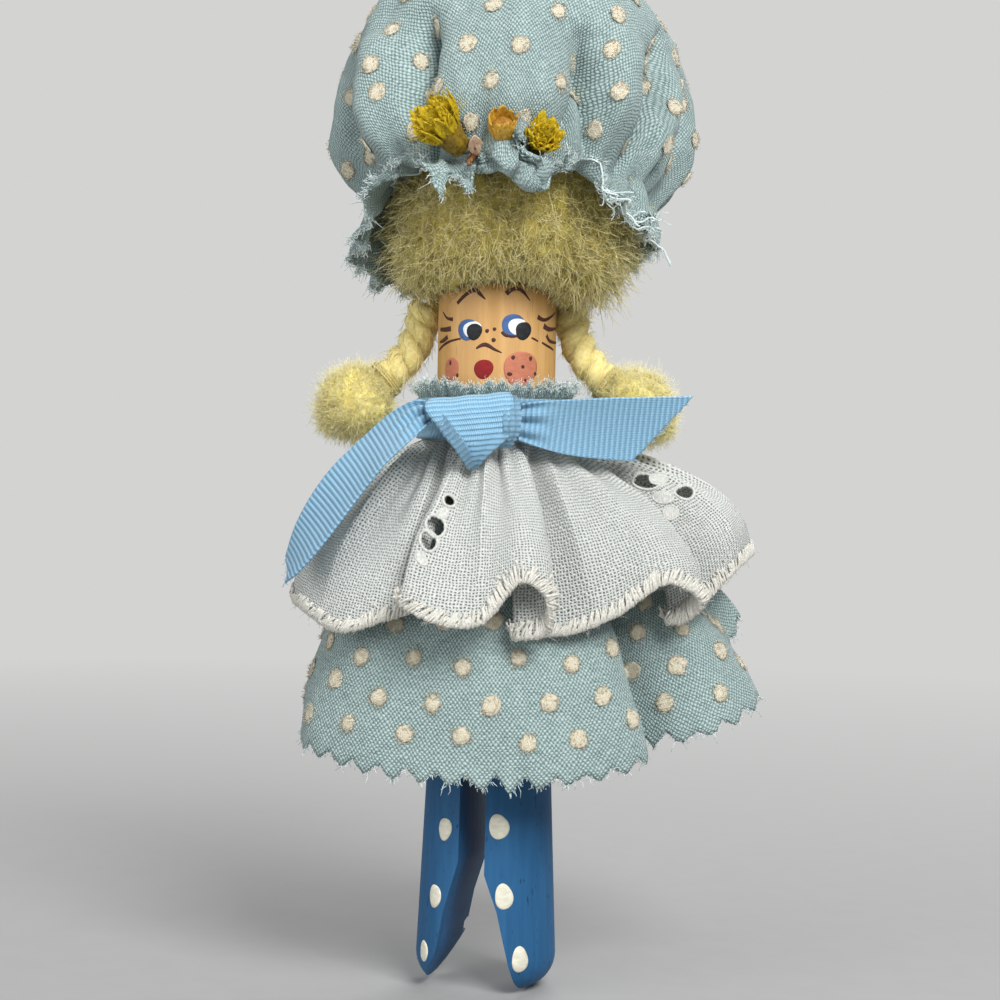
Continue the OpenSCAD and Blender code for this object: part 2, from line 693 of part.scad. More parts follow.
module button_flower(d, h) rotate_extrude() polygon([
  [0, 0], [d / 2 * flower_core_share, 0], [d / 2 * flower_core_share, h / 4],
  [d / 2, h * 0.8], [d / 2 * 0.8, h], [d / 2 * flower_core_share, h * 0.8], [0, h * 0.85]
]);

module flower_left() color("Gold") turned() cap_place()
  on_crown(flower_left_at, flower_left_d / 2 * flower_core_share, flower_lean)
    button_flower(flower_left_d, flower_left_h);
module flower_right() color("Goldenrod") turned() cap_place()
  on_crown(flower_right_at, flower_right_d / 2 * flower_core_share, flower_lean)
    button_flower(flower_right_d, flower_right_h);

// A papery cup
module flower_bud() color("SandyBrown") turned() cap_place()
  on_crown(bud_at, bud_d / 2, bud_lean) rotate_extrude() polygon([
    [0, 0], [bud_d / 4, 0], [bud_d / 2, bud_h / 2], [bud_d / 2 - bud_wall / 2, bud_h],
    [bud_d / 2 - bud_wall, bud_h], [bud_d / 2 - bud_wall, bud_h / 2], [0, bud_h / 3]
  ]);

// A loose petal that stands on its point
module flower_petal() color("PeachPuff") turned() cap_place()
  on_crown(petal_at, petal_t, petal_lean) rotate([90, 0, 0]) linear_extrude(height = petal_t)
    polygon([[0, 0], [petal_w / 2, petal_len / 2], [0, petal_len], [-petal_w / 2, petal_len / 2]]);

// Stem ends that lie on the turned-up ruffle between the flowers
module flower_stem(b) {
  clear = cotton_t / 2 + layer_gap + stem_d / 2;
  ends = [for (share = stem_shares) ruffle_point(b, share) + [0, 0, clear]];
  along = ends[1] - ends[0];
  translate(ends[0]) rotate([0, acos(along[2] / norm(along)), atan2(along[1], along[0])])
    cylinder(h = norm(along), d = stem_d);
}
module flower_stems() color("Sienna") turned() cap_place()
  for (neighbour = [flower_left_at, flower_right_at]) flower_stem((bud_at[0] + neighbour[0]) / 2);

clothespin();
dress();
dress_thread();
eyelet_frill();
frill_edging();
ribbon_band();
ribbon_knot();
ribbon_tail_left();
ribbon_tail_right();
hair_fringe();
plait_left();
plait_right();
tuft_left();
tuft_right();
plait_tie_left();
plait_tie_right();
mob_cap();
cap_stuffing();
cap_thread();
flower_left();
flower_right();
flower_bud();
flower_petal();
flower_stems();
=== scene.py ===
"""Clothespin doll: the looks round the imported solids.

Lengths are millimetres until a mesh is made. A bearing is an angle in degrees round the pin: 0 is the
front of the pin and +90 its right. The clothes, hair and cap are turned on the pin, as the solids are.
"""

import math

import bpy
import numpy as np
from mathutils import Matrix, Vector, noise


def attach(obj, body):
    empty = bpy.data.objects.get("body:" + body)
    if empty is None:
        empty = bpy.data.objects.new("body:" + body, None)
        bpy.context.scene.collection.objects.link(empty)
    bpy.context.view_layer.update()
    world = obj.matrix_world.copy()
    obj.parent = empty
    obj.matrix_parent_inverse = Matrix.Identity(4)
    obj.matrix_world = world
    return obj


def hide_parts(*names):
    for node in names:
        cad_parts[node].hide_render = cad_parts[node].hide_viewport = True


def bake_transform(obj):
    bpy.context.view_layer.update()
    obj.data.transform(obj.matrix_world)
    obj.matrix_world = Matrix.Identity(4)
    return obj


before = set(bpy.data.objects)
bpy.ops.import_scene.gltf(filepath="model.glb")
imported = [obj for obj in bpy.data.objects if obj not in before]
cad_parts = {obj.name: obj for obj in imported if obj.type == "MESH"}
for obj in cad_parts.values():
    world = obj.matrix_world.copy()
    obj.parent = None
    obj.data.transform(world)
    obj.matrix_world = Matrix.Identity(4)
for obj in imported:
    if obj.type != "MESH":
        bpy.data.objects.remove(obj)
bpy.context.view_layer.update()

MM = 0.001

# View of the photograph
VIEW_AZIMUTH = 14
VIEW_ELEVATION = 1.6
VIEW_ROLL = 1.07
VIEW_DISTANCE = 310
VIEW_WIDTH = 136
AIM_RIGHT = 0.82
AIM_Z = 66
PICTURE = 1000
SENSOR = 36
PX = PICTURE / VIEW_WIDTH

# Stage: a lamp is its place, its size and its power in watts
BACKDROP = "#d3d3d2"
FLOOR_RINGS = (60, 120, 200, 300, 450, 900)
FLOOR_SIDES = 64
FLOOR_DROP = 0.05
# Distances over which the floor's painted shade near the doll fades into the backdrop
FLOOR_FADE = (20, 450)
LAMPS = {
    "key": ((330, -400, 470), 300, 5.2),
    "fill": ((-330, -420, 200), 420, 1.3),
    "rear": ((0, 520, 420), 420, 2.6),
}
LAMP_AIM = (0, 0, 70)

# Hairs and threads: sway as a share of the curl, and its waves in radians
HAIR_SWAY = 0.35
HAIR_WAVES = 5
HAIR_PHASES = 6.3

# Clothespin
PIN_LEN = 95
PIN_R = 8
FEET_R = 9.5
SPLAY_Z = 40
HEAD_RIM = 1.6
FOOT_ROUND = 4.5
SLOT_HALF = 1.8
SLOT_ROOT = 52.2
# The slot's mouth: half width and height, from where it opens to the feet
MOUTH_LEFT = [(SLOT_HALF, 18), (3.9, 11), (4.95, 5.4), (7.9, 0)]
MOUTH_RIGHT = [(SLOT_HALF, 16.4), (3.5, 11.6), (5.4, 3.1), (5.9, 0)]
SLOT_BELOW = 2
SLOT_REACH = 14
# The chip out of a leg: place to the right, height and size
CHIP = (-4.8, 6.2, 1.5)
CHIP_LONG = 2.4
CHIP_TURN = (0.2, math.radians(45), 0.3)
PAINT_TOP = 57
PIN_SIDES = 96
EDGE_WEAR = 0.9
EDGE_STEPS = 5
WORN_ANGLE = 35
SMOOTH_ANGLE = 40
SAME_POINT = 0.01

# Paint: a profile is the share of the half size and of the lift, from under the paint's rim to its top
DAB_PROFILE = ((0.05, -0.1), (1.0, -0.1), (1.0, 0.25), (0.9, 0.75), (0.6, 1.0), (0.05, 1.0))
DAB_SIDES = 24
DAB_RAGGED = 0.04
STROKE_PROFILE = ((-1, -0.2), (-1, 0.3), (-0.6, 0.9), (0, 1), (0.6, 0.9), (1, 0.3), (1, -0.2))
STROKE_STEPS = 14
STROKE_LIFT = 0.06
# The face, by pixels of the photograph: a dab is its middle and half sizes, a stroke its points and widths
EYE_BLUES = [(467.3, 329.5, 11, 10.5), (513.4, 325.7, 11.4, 12)]
EYE_WHITES = [(471.8, 329.5, 10.2, 8.3), (517.3, 326.4, 9.6, 8.6)]
PUPILS = [(474, 331.4, 8.4, 8.4), (523.2, 330.6, 8.7, 9.3)]
NOSE = [(487.1, 330.8, 2, 2), (494.5, 329.1, 1.8, 1.8), (493.6, 340, 2.1, 2.2)]
FRECKLES = [
    (513.1, 357.5, 2, 2.2), (530.5, 358.6, 2, 2.4), (522.7, 366.7, 1.8, 1.9), (509.7, 374.1, 2.7, 2),
    (535, 373.7, 1.7, 1.9), (525.3, 380.2, 1.6, 1.7), (450.6, 362.8, 1.6, 2.6), (457.5, 375.2, 1.5, 2),
    (445.8, 378.5, 1.5, 1.7),
]
MOUTH = [(483.5, 369, 9.7, 9.5)]
CHEEKS = [(451.4, 369.3, 10.4, 12.2), (521.2, 369, 17.9, 18.2)]
BROWN_STROKES = [
    ([(457.5, 303.2), (466, 294.5), (475, 289.8), (480, 294), (485.5, 299.4)], (3.6, 3.6, 4.4, 3.6, 0.8)),
    ([(506.2, 293.6), (511, 290), (516.6, 288.5), (523, 291.6), (529.9, 300.7)], (5.2, 3.6, 3.4, 3.2, 0.8)),
    ([(443.2, 312.2), (447.1, 318), (453, 319.3)], (1.2, 2.6, 4)),
    ([(440.6, 329.5), (445.5, 329.6), (451, 328.6)], (3.6, 4.6, 5.2)),
    ([(440, 342.3), (443.6, 340.4), (447.8, 336.8)], (2, 4.4, 4.6)),
    ([(439.3, 350.3), (447.8, 342.3), (460.8, 338.5)], (2.6, 2.8, 1.6)),
    ([(537.6, 316.8), (545.2, 319.9), (554.9, 312.8)], (5, 3.6, 1.2)),
    ([(543.6, 325.8), (549.1, 329.3), (555.6, 328.5)], (5.8, 4.4, 2)),
    ([(546.5, 335.3), (550.4, 341.5), (557.1, 343)], (4.2, 3.6, 2)),
    ([(541.9, 342.6), (547.5, 346), (553, 349.8)], (2, 2.6, 2)),
    ([(501.7, 331.8), (506.2, 335.3), (518.6, 336.2)], (2.4, 3.6, 2)),
    ([(531.5, 337.8), (534.5, 339.2), (538, 341.3)], (1.6, 2.2, 1.6)),
    ([(476.4, 348.5), (481.5, 345.3), (486.8, 344.8), (494.5, 349.4), (501.7, 352.6)],
     (1.6, 3.6, 4.2, 2.8, 0.8)),
]
# Dots on the legs: by pixels at the front, and by bearing and height at the back
LEG_DOTS = [
    (447, 762, 8, 11), (445, 829, 8, 11.5), (435, 896, 8, 12), (424, 951, 7, 11),
    (499, 827, 10, 12.5), (504, 897, 9.5, 12.5), (520, 960, 9.5, 12.5),
]
BACK_DOTS = [(224, 8), (218, 17.5), (214, 26.5), (136, 5), (142, 14), (146, 23)]
BACK_DOT_SIZE = (1.25, 1.65)
LEG_DOT_LIFT = 0.16
LEG_DOT_RAGGED = 0.05

# Dress
TURN = 14
NECK_Z = 76
DRESS_NECK_R = 8.4
COLLAR_H = 5.3
COLLAR_FLARE = 2.1
COLLAR_STAND = 0.45
COLLAR_TEETH = 40
COLLAR_TOOTH_H = 0.9
COLLAR_STEPS = 11
COLLAR_RIPPLE = 0.3
SKIRT_HALF_W = 36
SKIRT_HALF_D = 18
SKIRT_LEN = 42
SKIRT_COLUMNS = 576
SKIRT_STEPS = 52
SKIRT_GATHERS = 44
SKIRT_GATHER_H = 0.35
SKIRT_WORN_SIZE = 9
SKIRT_WORN_H = 0.5
HEM_FINE = 4001
TEETH = 46
TOOTH_H = 1.8
TOOTH_STRAY = 0.14
COTTON_T = 0.34
COTTON_WARP = 0.31
COTTON_WEFT = 0.36
# Loose threads of an edge: their count, usual length and width, and how far their roots stray
HEM_FRAY = (1500, 0.42, 0.13, 0.08)
COLLAR_FRAY = (3600, 0.28, 0.11, 0.3)
# Flocked dots: a profile is the share of the radius and the height over the cloth
DOT_PITCH = 8.2
DOT_ROWS = 5.1
DOT_R = 1.65
DOT_LOWEST = 5.2
DOT_ROW_COUNT = 8
DOT_FRONT_X = 0.6
DOT_SIDES = 16
DOT_PROFILE = ((0.6, -0.1), (0.78, 0.03), (0.64, 0.15), (0.3, 0.21))
FLOCK_HAIRS = 100
FLOCK_LONG = (0.2, 0.5)
FLOCK_T = 0.1
FLOCK_ROOT = 0.12

# Frill
FRILL_NECK_R = 9.675
FRILL_BREAK_Z = 70.95
FRILL_LEAVES_Z = 73.7
FRILL_TOP_Z = 78.4
FRILL_HALF_W = 35
FRILL_HALF_D = 21
FRILL_DROP = 22.5
FRILL_T = 0.3
FRILL_COLUMNS = 640
FRILL_STEPS = 76
FRILL_TUCKS = 8
FRILL_FOLD_H = 1.5
FRILL_SLACK_SIZE = 7
FRILL_SLACK_H = 0.4
FRILL_PRESSED = 0.1
LACE_WARP = 0.5
LACE_WEFT = 0.44
# A whipped stitch: shares of its length, with how far it lies below the hem and out from the cloth
STITCH_PITCH = 0.18
STITCH_R = 0.15
STITCH_T = (0, 0.25, 0.45, 0.55, 0.65, 0.8, 1)
STITCH_DOWN = (-1.9, -0.8, 0.3, 0.5, 0.3, -0.6, -1.3)
STITCH_OUT = (0.2, 0.45, 0.38, 0, -0.38, -0.45, -0.2)
HEM_CORD_R = 0.32
HEM_CORD_DROP = 0.1
FRILL_FUZZ = (2600, 0.5, 0.08)
# Eyelets by pixel and half sizes, then those out of sight by bearing and height as a share of the fall
EYELETS = [
    (441, 524, 1.25, 1.35), (433, 539, 1.15, 1.2), (453, 497, 0.8, 0.75), (643, 478, 1.35, 1.5),
    (685, 488, 1.2, 1.1),
]
BACK_EYELETS = [(150, 0.45), (158, 0.5), (195, 0.35), (235, 0.5), (243, 0.45), (270, 0.4)]
BACK_EYELET = (1.4, 1.6)
NEAR_PIXELS = 6
RIM_STEPS = 60
RIM_R = 0.22
RIM_TWIST = 0.07
RIM_LIFT = 0.1
# Satin-stitched petals by pixel, half sizes and turn
SATIN_PETALS = [
    (661, 475, 1.3, 1.0, 20), (658, 497, 1.2, 1.0, -30), (672, 507, 1.2, 0.9, 40), (447, 512, 0.9, 0.6, 60),
    (425, 556, 0.9, 0.6, -20),
]
SATIN_STITCHES = 17
SATIN_R = 0.1
SATIN_RIM_R = 0.15
SATIN_RIM_LIFT = 0.14

# Ribbon
RIBBON_W = 9.5
RIBBON_T = 0.3
RIB = 0.72
RIB_STEP = RIB / 6
RIB_LIFT = 0.05
SELVEDGE = 0.93
RIBBON_THREAD = 0.26
RIBBON_COLUMNS = 61
BAND_R = 10.3
BAND_HALF = 2.7
BAND_RISE = 0.9
BAND_COLUMNS = 528
BAND_RIBS = 92
BAND_STEPS = 13
BAND_FOLD_H = 0.3
KNOT_BACK = 10.7
KNOT_SLOPE = 6
KNOT_FOLD_SLOPE = 38
TAIL_FRONT = 12.5
TAIL_RIGHT_START = 3.2
TAIL_LEFT_START = -8.6
TAIL_FRAY = (80, 0.4, 0.1)
TAIL_CURVE = 0.35
TAIL_RIGHT_CUT = 3.7
TAIL_LEFT_CUT = 0.9
TAIL_FINE = 1201
KNOT_FINE = 1001
KNOT_COLUMNS = 25
# Reach to the side, lead to the front and rise of a tail, in millimetres
TAIL_RIGHT_SIZE = (20, TAIL_FRONT, RIBBON_W)
TAIL_LEFT_SIZE = (-20.5, TAIL_FRONT, 21.5)

# A row of a hem: the angle of its gather, the shares of the reach to the right and to the front, the
# rise as a share of the cloth's length, and how early the cloth stands out from the neck
SKIRT_HEM = [
    (-90, -0.71, 0.00, 0.00, 1.8), (-68, -0.65, 0.44, -0.03, 1.7), (-45, -0.45, 0.74, -0.07, 1.6),
    (-20, -0.17, 0.92, -0.09, 1.3), (0, 0.05, 0.96, -0.10, 1.3), (18, 0.27, 0.92, -0.09, 1.3),
    (33, 0.48, 0.80, -0.06, 1.3), (43, 0.57, 0.58, -0.02, 1.3), (49, 0.49, 0.40, 0.00, 1.3),
    (55, 0.54, 0.25, 0.01, 1.3), (63, 0.72, 0.36, 0.02, 1.2), (74, 0.89, 0.33, 0.07, 1.2),
    (86, 1.00, 0.11, 0.13, 1.2), (95, 1.00, -0.14, 0.17, 1.2), (103, 0.92, -0.36, 0.29, 1.2),
    (111, 0.96, -0.55, 0.38, 1.2), (122, 0.77, -0.68, 0.20, 1.3), (140, 0.55, -0.86, 0.05, 1.4),
    (158, 0.28, -0.80, 0.02, 1.5), (176, 0.05, -0.95, 0.00, 1.5), (194, -0.17, -0.83, 0.01, 1.5),
    (212, -0.36, -0.91, 0.00, 1.5), (232, -0.53, -0.62, 0.01, 1.6), (252, -0.67, -0.38, 0.00, 1.7),
]
FRILL_HEM = [
    (-90, -0.77, 0.02, 0.18, 1.8), (-72, -0.70, 0.33, 0.12, 1.8), (-55, -0.57, 0.62, 0.03, 1.7),
    (-43, -0.41, 0.72, 0.10, 1.6), (-36, -0.29, 0.70, 0.17, 1.5), (-30, -0.27, 0.81, 0.24, 1.5),
    (-24, -0.33, 0.94, 0.22, 1.5), (-14, -0.20, 1.00, 0.12, 1.5), (-4, -0.04, 1.02, 0.12, 1.5),
    (6, 0.10, 1.03, 0.36, 1.5), (12, 0.21, 0.99, 0.26, 1.5), (17, 0.20, 0.88, 0.06, 1.5),
    (22, 0.09, 0.82, 0.02, 1.5), (28, 0.12, 0.72, 0.03, 1.5), (34, 0.29, 0.71, 0.05, 1.5),
    (42, 0.46, 0.73, 0.16, 1.7), (51, 0.64, 0.74, 0.35, 2.0), (58, 0.78, 0.62, 0.25, 2.2),
    (63, 0.73, 0.50, 0.12, 2.2), (68, 0.66, 0.42, 0.10, 2.3), (74, 0.76, 0.35, 0.16, 2.5),
    (83, 0.89, 0.28, 0.36, 2.7), (93, 0.98, 0.05, 0.48, 2.8), (104, 1.01, -0.26, 0.47, 2.8),
    (117, 0.92, -0.56, 0.33, 2.4), (130, 0.74, -0.76, 0.21, 2.0), (144, 0.52, -0.86, 0.27, 1.8),
    (158, 0.36, -1.00, 0.18, 1.7), (172, 0.13, -0.88, 0.26, 1.7), (187, -0.06, -1.01, 0.18, 1.7),
    (201, -0.24, -0.86, 0.26, 1.7), (215, -0.45, -0.92, 0.18, 1.7), (229, -0.56, -0.66, 0.25, 1.7),
    (243, -0.72, -0.52, 0.18, 1.8), (257, -0.72, -0.24, 0.24, 1.8),
]
# A row of a ribbon tail: reach, lead to the front, rise, twist in degrees, and width
TAIL_RIGHT = [
    (0.00, 1.00, 0.06, 0, 0.48), (0.12, 1.01, 0.04, 8, 0.62), (0.35, 0.98, 0.00, 16, 0.80),
    (0.65, 0.90, -0.01, 18, 0.90), (1.12, 0.70, 0.00, 16, 0.96),
]
TAIL_LEFT = [
    (0.00, 1.00, 0.00, 15, 0.28), (0.10, 1.02, -0.03, 40, 0.55), (0.32, 0.98, -0.21, 58, 0.92),
    (0.56, 0.92, -0.47, 55, 1.00), (0.76, 0.85, -0.75, 60, 1.00), (0.88, 0.78, -0.95, 70, 0.80),
    (0.92, 0.76, -1.03, 76, 0.45),
]
# A row of the knot: depth out of the band, height over the neck, place to the right, width and folds
KNOT = [
    (0.2, 3.0, -3.2, 8.5, 0.05), (1.6, 3.8, -3.4, 10.2, 0.06), (3.0, 3.3, -3.5, 11.4, 0.08),
    (3.8, 2.2, -3.3, 11.4, 0.10), (4.1, 0.6, -2.5, 10.4, 0.12), (4.1, -1.0, -2.0, 9.2, 0.12),
    (3.9, -2.6, -2.2, 6.2, 0.10), (3.4, -4.2, -2.6, 3.2, 0.06), (2.4, -5.6, -2.8, 1.2, 0.00),
]
KNOT_FOLD = [
    (2.6, 2.8, -9.0, 0.9, 0), (4.0, 1.0, -7.3, 1.4, 0), (4.45, -1.2, -5.6, 1.5, 0),
    (4.2, -3.4, -4.0, 1.4, 0), (2.8, -5.5, -2.9, 1.0, 0),
]
KNOT_RIDGE = [
    (1.6, 3.9, 1.8, 1.8, 0.00), (3.6, 3.0, 2.0, 2.2, 0.06), (4.3, 0.8, 2.2, 2.3, 0.08),
    (4.2, -1.0, 2.1, 2.0, 0.06), (3.0, -2.8, 1.4, 1.4, 0.00),
]

# Hair
FRINGE_W = 32.5
FRINGE_D = 25
FRINGE_H = 19.5
FRINGE_X = 1.9
FRINGE_FRONT = 1.6
FRINGE_MID_Z = 104.35
FRINGE_SAG = 2.8
FRINGE_ROUND = 0.66
FRINGE_COLUMNS = 200
FRINGE_STEPS = 100
FRINGE_SINK = 0.7
FRINGE_HAIRS = 14000
FRINGE_LOCKS = 6000
FRINGE_HAIR_T = 0.085
HAIR_ROOT = 0.3
PILE_LONG = (0.5, 1.5)
LOCK_LONG = (1.6, 3.2)
LOCK_LEAST = 0.6
HEAD_GAP = 0.15
PLAIT_R = 2
PLAIT_ROOT = (10.08, 3.8, 91)
PLAIT_REACH = 5.4
PLAIT_LEAD = 5.4
PLAIT_DROP = 9.07
PLAIT_TURNS = 2.2
PLAIT_STEPS = 90
# The part of a plait that is hidden in the fringe: its share of the length, and its rise for each length
PLAIT_HIDDEN = 0.16
PLAIT_CLIMB = 12
# A strand of a plait: how far out it lies and its radius, as shares of the plait's radius
STRAND_OUT = 0.52
STRAND_SHARE = 0.68
STRAND_SIDES = 14
# The plait's line: shares of its reach, its lead to the front and its drop
PLAIT = [(0.00, 0.00, 0.00), (0.10, 0.06, 0.30), (0.38, 0.20, 0.62), (0.76, 0.32, 0.88), (1.00, 0.38, 1.00)]
STRAND_HAIRS = 420
STRAND_HAIR_LONG = (1.2, 2.8)
STRAND_HAIR_T = 0.12
TUFT_D = 12.4
TUFT_LEN = 11.6
TUFT_MID = 0.42
TUFT_CORE = 0.7
TUFT_HAIRS = 12000
TUFT_HAIR_T = 0.06
TUFT_HAIR_LONG = (0.3, 1.6)
TUFT_COLUMNS = 90
TUFT_STEPS = 60
TIE_SHARE = 0.92
TIE_TURNS = 3
TIE_PITCH = 0.32
TIE_R = 0.17
TIE_STEPS = 90
TIE_COIL_R = PLAIT_R * 1.16 + 0.3

# Mob cap
CAP_AT = (1.8, -0.5, 105.95)
CAP_TILT = 18
CROWN_HALF_W = 23.65
CROWN_HALF_D = 19.49
CROWN_LOW_H = 16.5
CROWN_TOP_H = 19.5
GATHER_SHARE = 0.78
GATHER_RISE = math.degrees(math.acos(GATHER_SHARE))
CROWN_LOW_R = CROWN_LOW_H / math.sin(math.radians(GATHER_RISE))
CROWN_TOP_GAP = 0.012
CROWN_STEPS = 78
CAP_COLUMNS = 480
PLEATS = 12
PLEAT = 0.055
PLEAT_UNEVEN = 0.03
RUFFLE_H = 8.5
RUFFLE_STEPS = 14
RUFFLE_FLARE = 2.4
RUFFLE_WAVE = 0.04
RUFFLE_RIGHT = 0.4
RUFFLE_LIFT = 0.95
RUFFLE_LIFT_BEARING = -25
CRUMPLE = 2.6
HAIR_CEILING = 1.2
CROWN_EASE = 0.985
CAP_DOT_PITCH = 8
CAP_DOT_R = 1.6
CAP_DOT_TOP = 4
CAP_DOT_ROWS = 12
CAP_FRAY = (4200, 0.45, 0.11, 0.25)
CAP_LONG_FRAY = (40, 1.2, 0.15)
CAP_STRANDS = 16
CAP_STRAND_R = 0.12
CAP_THREAD_R = 0.16
CAP_THREAD_IN = 0.4
FRAY_GAP = 6
# Bearings between which the longest threads hang
LONG_FRAY_FROM = 12
STRAND_FROM = 22
LONG_FRAY_TO = 70
FILL_SHARE = 0.8
FILL_TOP_SHARE = 0.84
FILL_COLUMNS = 48
FILL_STEPS = 24
FILL_RISES = (-34.6, 88)
# A deep crease of the crown: its bearing at the gather, its depth as a share of the radius, its width,
# how far it leans as it climbs, and the share of the climb where it ends
CAP_CREASES = [
    (-36, 0.30, 6, 6, 0.42), (-62, 0.20, 6, -10, 0.36), (-15, 0.06, 4, 8, 0.18), (15, 0.15, 4, 10, 0.28),
    (32, 0.26, 6, -10, 0.34), (48, 0.26, 6, 12, 0.44), (66, 0.18, 5, 12, 0.34), (86, 0.14, 6, -10, 0.38),
    (125, 0.12, 7, 14, 0.34), (168, 0.13, 7, -14, 0.34), (212, 0.12, 7, 18, 0.34), (246, 0.12, 6, -16, 0.34),
    (276, 0.11, 6, 10, 0.30),
]
# The ruffle's front: bearing, reach of its edge outward and downward, and how far its middle sags below
RUFFLE_FRONT = [
    (-58, 3.9, 2.2, 0.0), (-40, 4.9, 0.8, 0.3), (-30, 5.0, 0.5, 0.6), (-27, 4.6, 2.6, 0.3),
    (-25, 4.0, 5.8, 0.0), (-21, 3.8, 5.2, 0.4), (-17, 2.6, 5.2, 0.2), (-13, 2.6, 3.4, 0.6),
    (-9, 4.8, -0.4, 3.4), (-3, 5.4, -1.3, 4.4), (3, 5.6, -1.0, 6.6), (7, 5.8, 0.2, 6.8),
    (12, 5.2, 2.6, 3.0), (16, 3.8, 1.6, 1.6), (24, 3.8, 3.0, 0.8), (34, 3.2, 4.0, 0.4), (52, 2.4, 5.2, 0.2),
]

# Dried flowers: bearing and rise on the crown
FLOWER_LEFT_AT = (-19, -37.5)
FLOWER_RIGHT_AT = (8, -38)
BUD_AT = (-3.5, -37)
PETAL_AT = (-13, -39.5)
# A button flower: width and height, lean outward and to a side, seed, and its petals and florets
FLOWER_LEFT = (7.2, 7.8, 66, -20, 31, 46, 420)
FLOWER_RIGHT = (5.2, 4.6, 80, 8, 37, 40, 520)
FLOWER_STAND = 0.8
BUD_LEAN = 64
BUD_R = 2
BUD_H = 4.6
PETAL_LEAN = 58
PETAL_R = 2.8
# Profiles of a flower's cup, by shares of its radius and height, and of the bud's heart, by radius and height
CUP = ((0.12, 0.0), (0.4, 0.02), (0.48, 0.22), (0.6, 0.42), (0.7, 0.54), (0.5, 0.62), (0.2, 0.6))
CUP_SIDES = 28
BUD_HEART = ((0.2, 0.0), (0.9, 0.1), (1.4, 0.9), (1.5, 2.4), (1.1, 2.9), (0.15, 3.0))
HEART_SIDES = 16
GOLDEN_ANGLE = 137.5
FLORET_T = 0.14
BUD_PETALS = 9
BUD_PETAL_LONG = (3.6, 4.4)
BUD_PETAL_W = 2.9
BUD_PETAL_T = 0.16
# A loose petal: length, width, how far it is cupped and curled back
LOOSE_PETALS = ((3.2, 2.2, 0.3, -0.4), (2.4, 1.6, -0.3, 0.5))
LOOSE_SHIFT = (0.5, -0.5, 0)
LOOSE_T = 0.2
STEM_R = 0.42
# Stem ends: where they start, out from the crown's edge and up, and how far out they end; then, for each,
# the flower beside it, the share of the way there from the bud, and how far its end hangs
STEM_START = (0.9, 0.8)
STEM_OUT = 4.4
STEMS = ((FLOWER_LEFT_AT, 0.75, 2.6), (FLOWER_RIGHT_AT, 0.5, 0.6))
SPLINTERS = 5
SPLINTER_R = 0.16


# Plain geometry

def unit(v):
    return v / np.maximum(np.linalg.norm(v, axis=-1, keepdims=True), 1e-9)


def lerp(a, b, t):
    return a + (b - a) * t


def sind(a):
    return np.sin(np.radians(a))


def cosd(a):
    return np.cos(np.radians(a))


def spun(x, y, angle):
    """A pair of coordinates, turned about zero."""
    return x * cosd(angle) - y * sind(angle), x * sind(angle) + y * cosd(angle)


def apart(bearing, other):
    """How far a bearing is from another, from -180 to 180."""
    return (bearing - other + 180) % 360 - 180


def run_along(line):
    """Distance along a line of points, at each of them."""
    steps = np.linalg.norm(np.diff(line, axis=0), axis=-1)
    return np.concatenate([np.zeros_like(steps[:1]), np.cumsum(steps, 0)])


def spline(p, q, r, s, t):
    return (2 * q + (r - p) * t + (2 * p - 5 * q + 4 * r - s) * t**2 + (3 * q - p - 3 * r + s) * t**3) / 2


def lap_at(table, u):
    """Rows of a closed table, whose first column gains a full turn with each lap."""
    table = np.array(table, float)
    k = np.floor(u).astype(int)

    def row(i):
        found = table[i % len(table)].copy()
        found[:, 0] += 360 * (i // len(table))
        return found
    return spline(row(k - 1), row(k), row(k + 1), row(k + 2), (u - k)[:, None])


def open_at(table, share):
    """Rows of an open table, from 0 at its first row to 1 at its last."""
    table = np.array(table, float)
    last = len(table) - 1
    u = np.asarray(share) * last
    k = np.minimum(np.floor(u).astype(int), last - 1)
    row = lambda i: table[np.clip(i, 0, last)]
    return spline(row(k - 1), row(k), row(k + 1), row(k + 2), (u - k)[:, None])


def bearing_point(bearing, r, z):
    return np.stack(np.broadcast_arrays(r * sind(bearing), -r * cosd(bearing), z), -1).astype(float)


def turned(points):
    x, y, z = np.moveaxis(points, -1, 0)
    return np.stack([*spun(x, y, TURN), z], -1)


def cap_placed(points):
    x, y, z = np.moveaxis(points, -1, 0)
    return turned(np.stack([x, *spun(y, z, -CAP_TILT)], -1) + np.array(CAP_AT))


def rough(points, size, seed=0.0):
    """Smooth noise from -1 to 1 at points, with lumps of about the given size."""
    flat = points.reshape(-1, 3) / size + seed
    return np.array([noise.noise(p) for p in flat]).reshape(points.shape[:-1])


# Where a place in the photograph lies on the part

def view_axes():
    a, e, roll = (math.radians(v) for v in (VIEW_AZIMUTH, VIEW_ELEVATION, VIEW_ROLL))
    level = np.array([math.cos(a), math.sin(a), 0])
    near = np.array([math.sin(a), -math.cos(a), 0])
    high = np.array([0, 0, 1.0])
    back = near * math.cos(e) + high * math.sin(e)
    rise = high * math.cos(e) - near * math.sin(e)
    right = level * math.cos(roll) + rise * math.sin(roll)
    up = rise * math.cos(roll) - level * math.sin(roll)
    aim = level * AIM_RIGHT + high * AIM_Z
    return right, up, back, aim, aim + back * VIEW_DISTANCE


RIGHT, UP, BACK, AIM, EYE = view_axes()


def picture_place(points):
    """Pixel column, pixel row and depth of points."""
    d = points - AIM
    depth = VIEW_DISTANCE - d @ BACK
    scale = PX * VIEW_DISTANCE / depth
    return PICTURE / 2 + d @ RIGHT * scale, PICTURE / 2 - d @ UP * scale, depth


def nearest_spot(px, py, depth, x, y):
    """Row and column of the cloth that a pixel shows, by the pixels and depths of its points."""
    off = np.hypot(px - x, py - y)
    return np.unravel_index(np.argmin(np.where(off < NEAR_PIXELS, depth, 9999 + off)), off.shape)


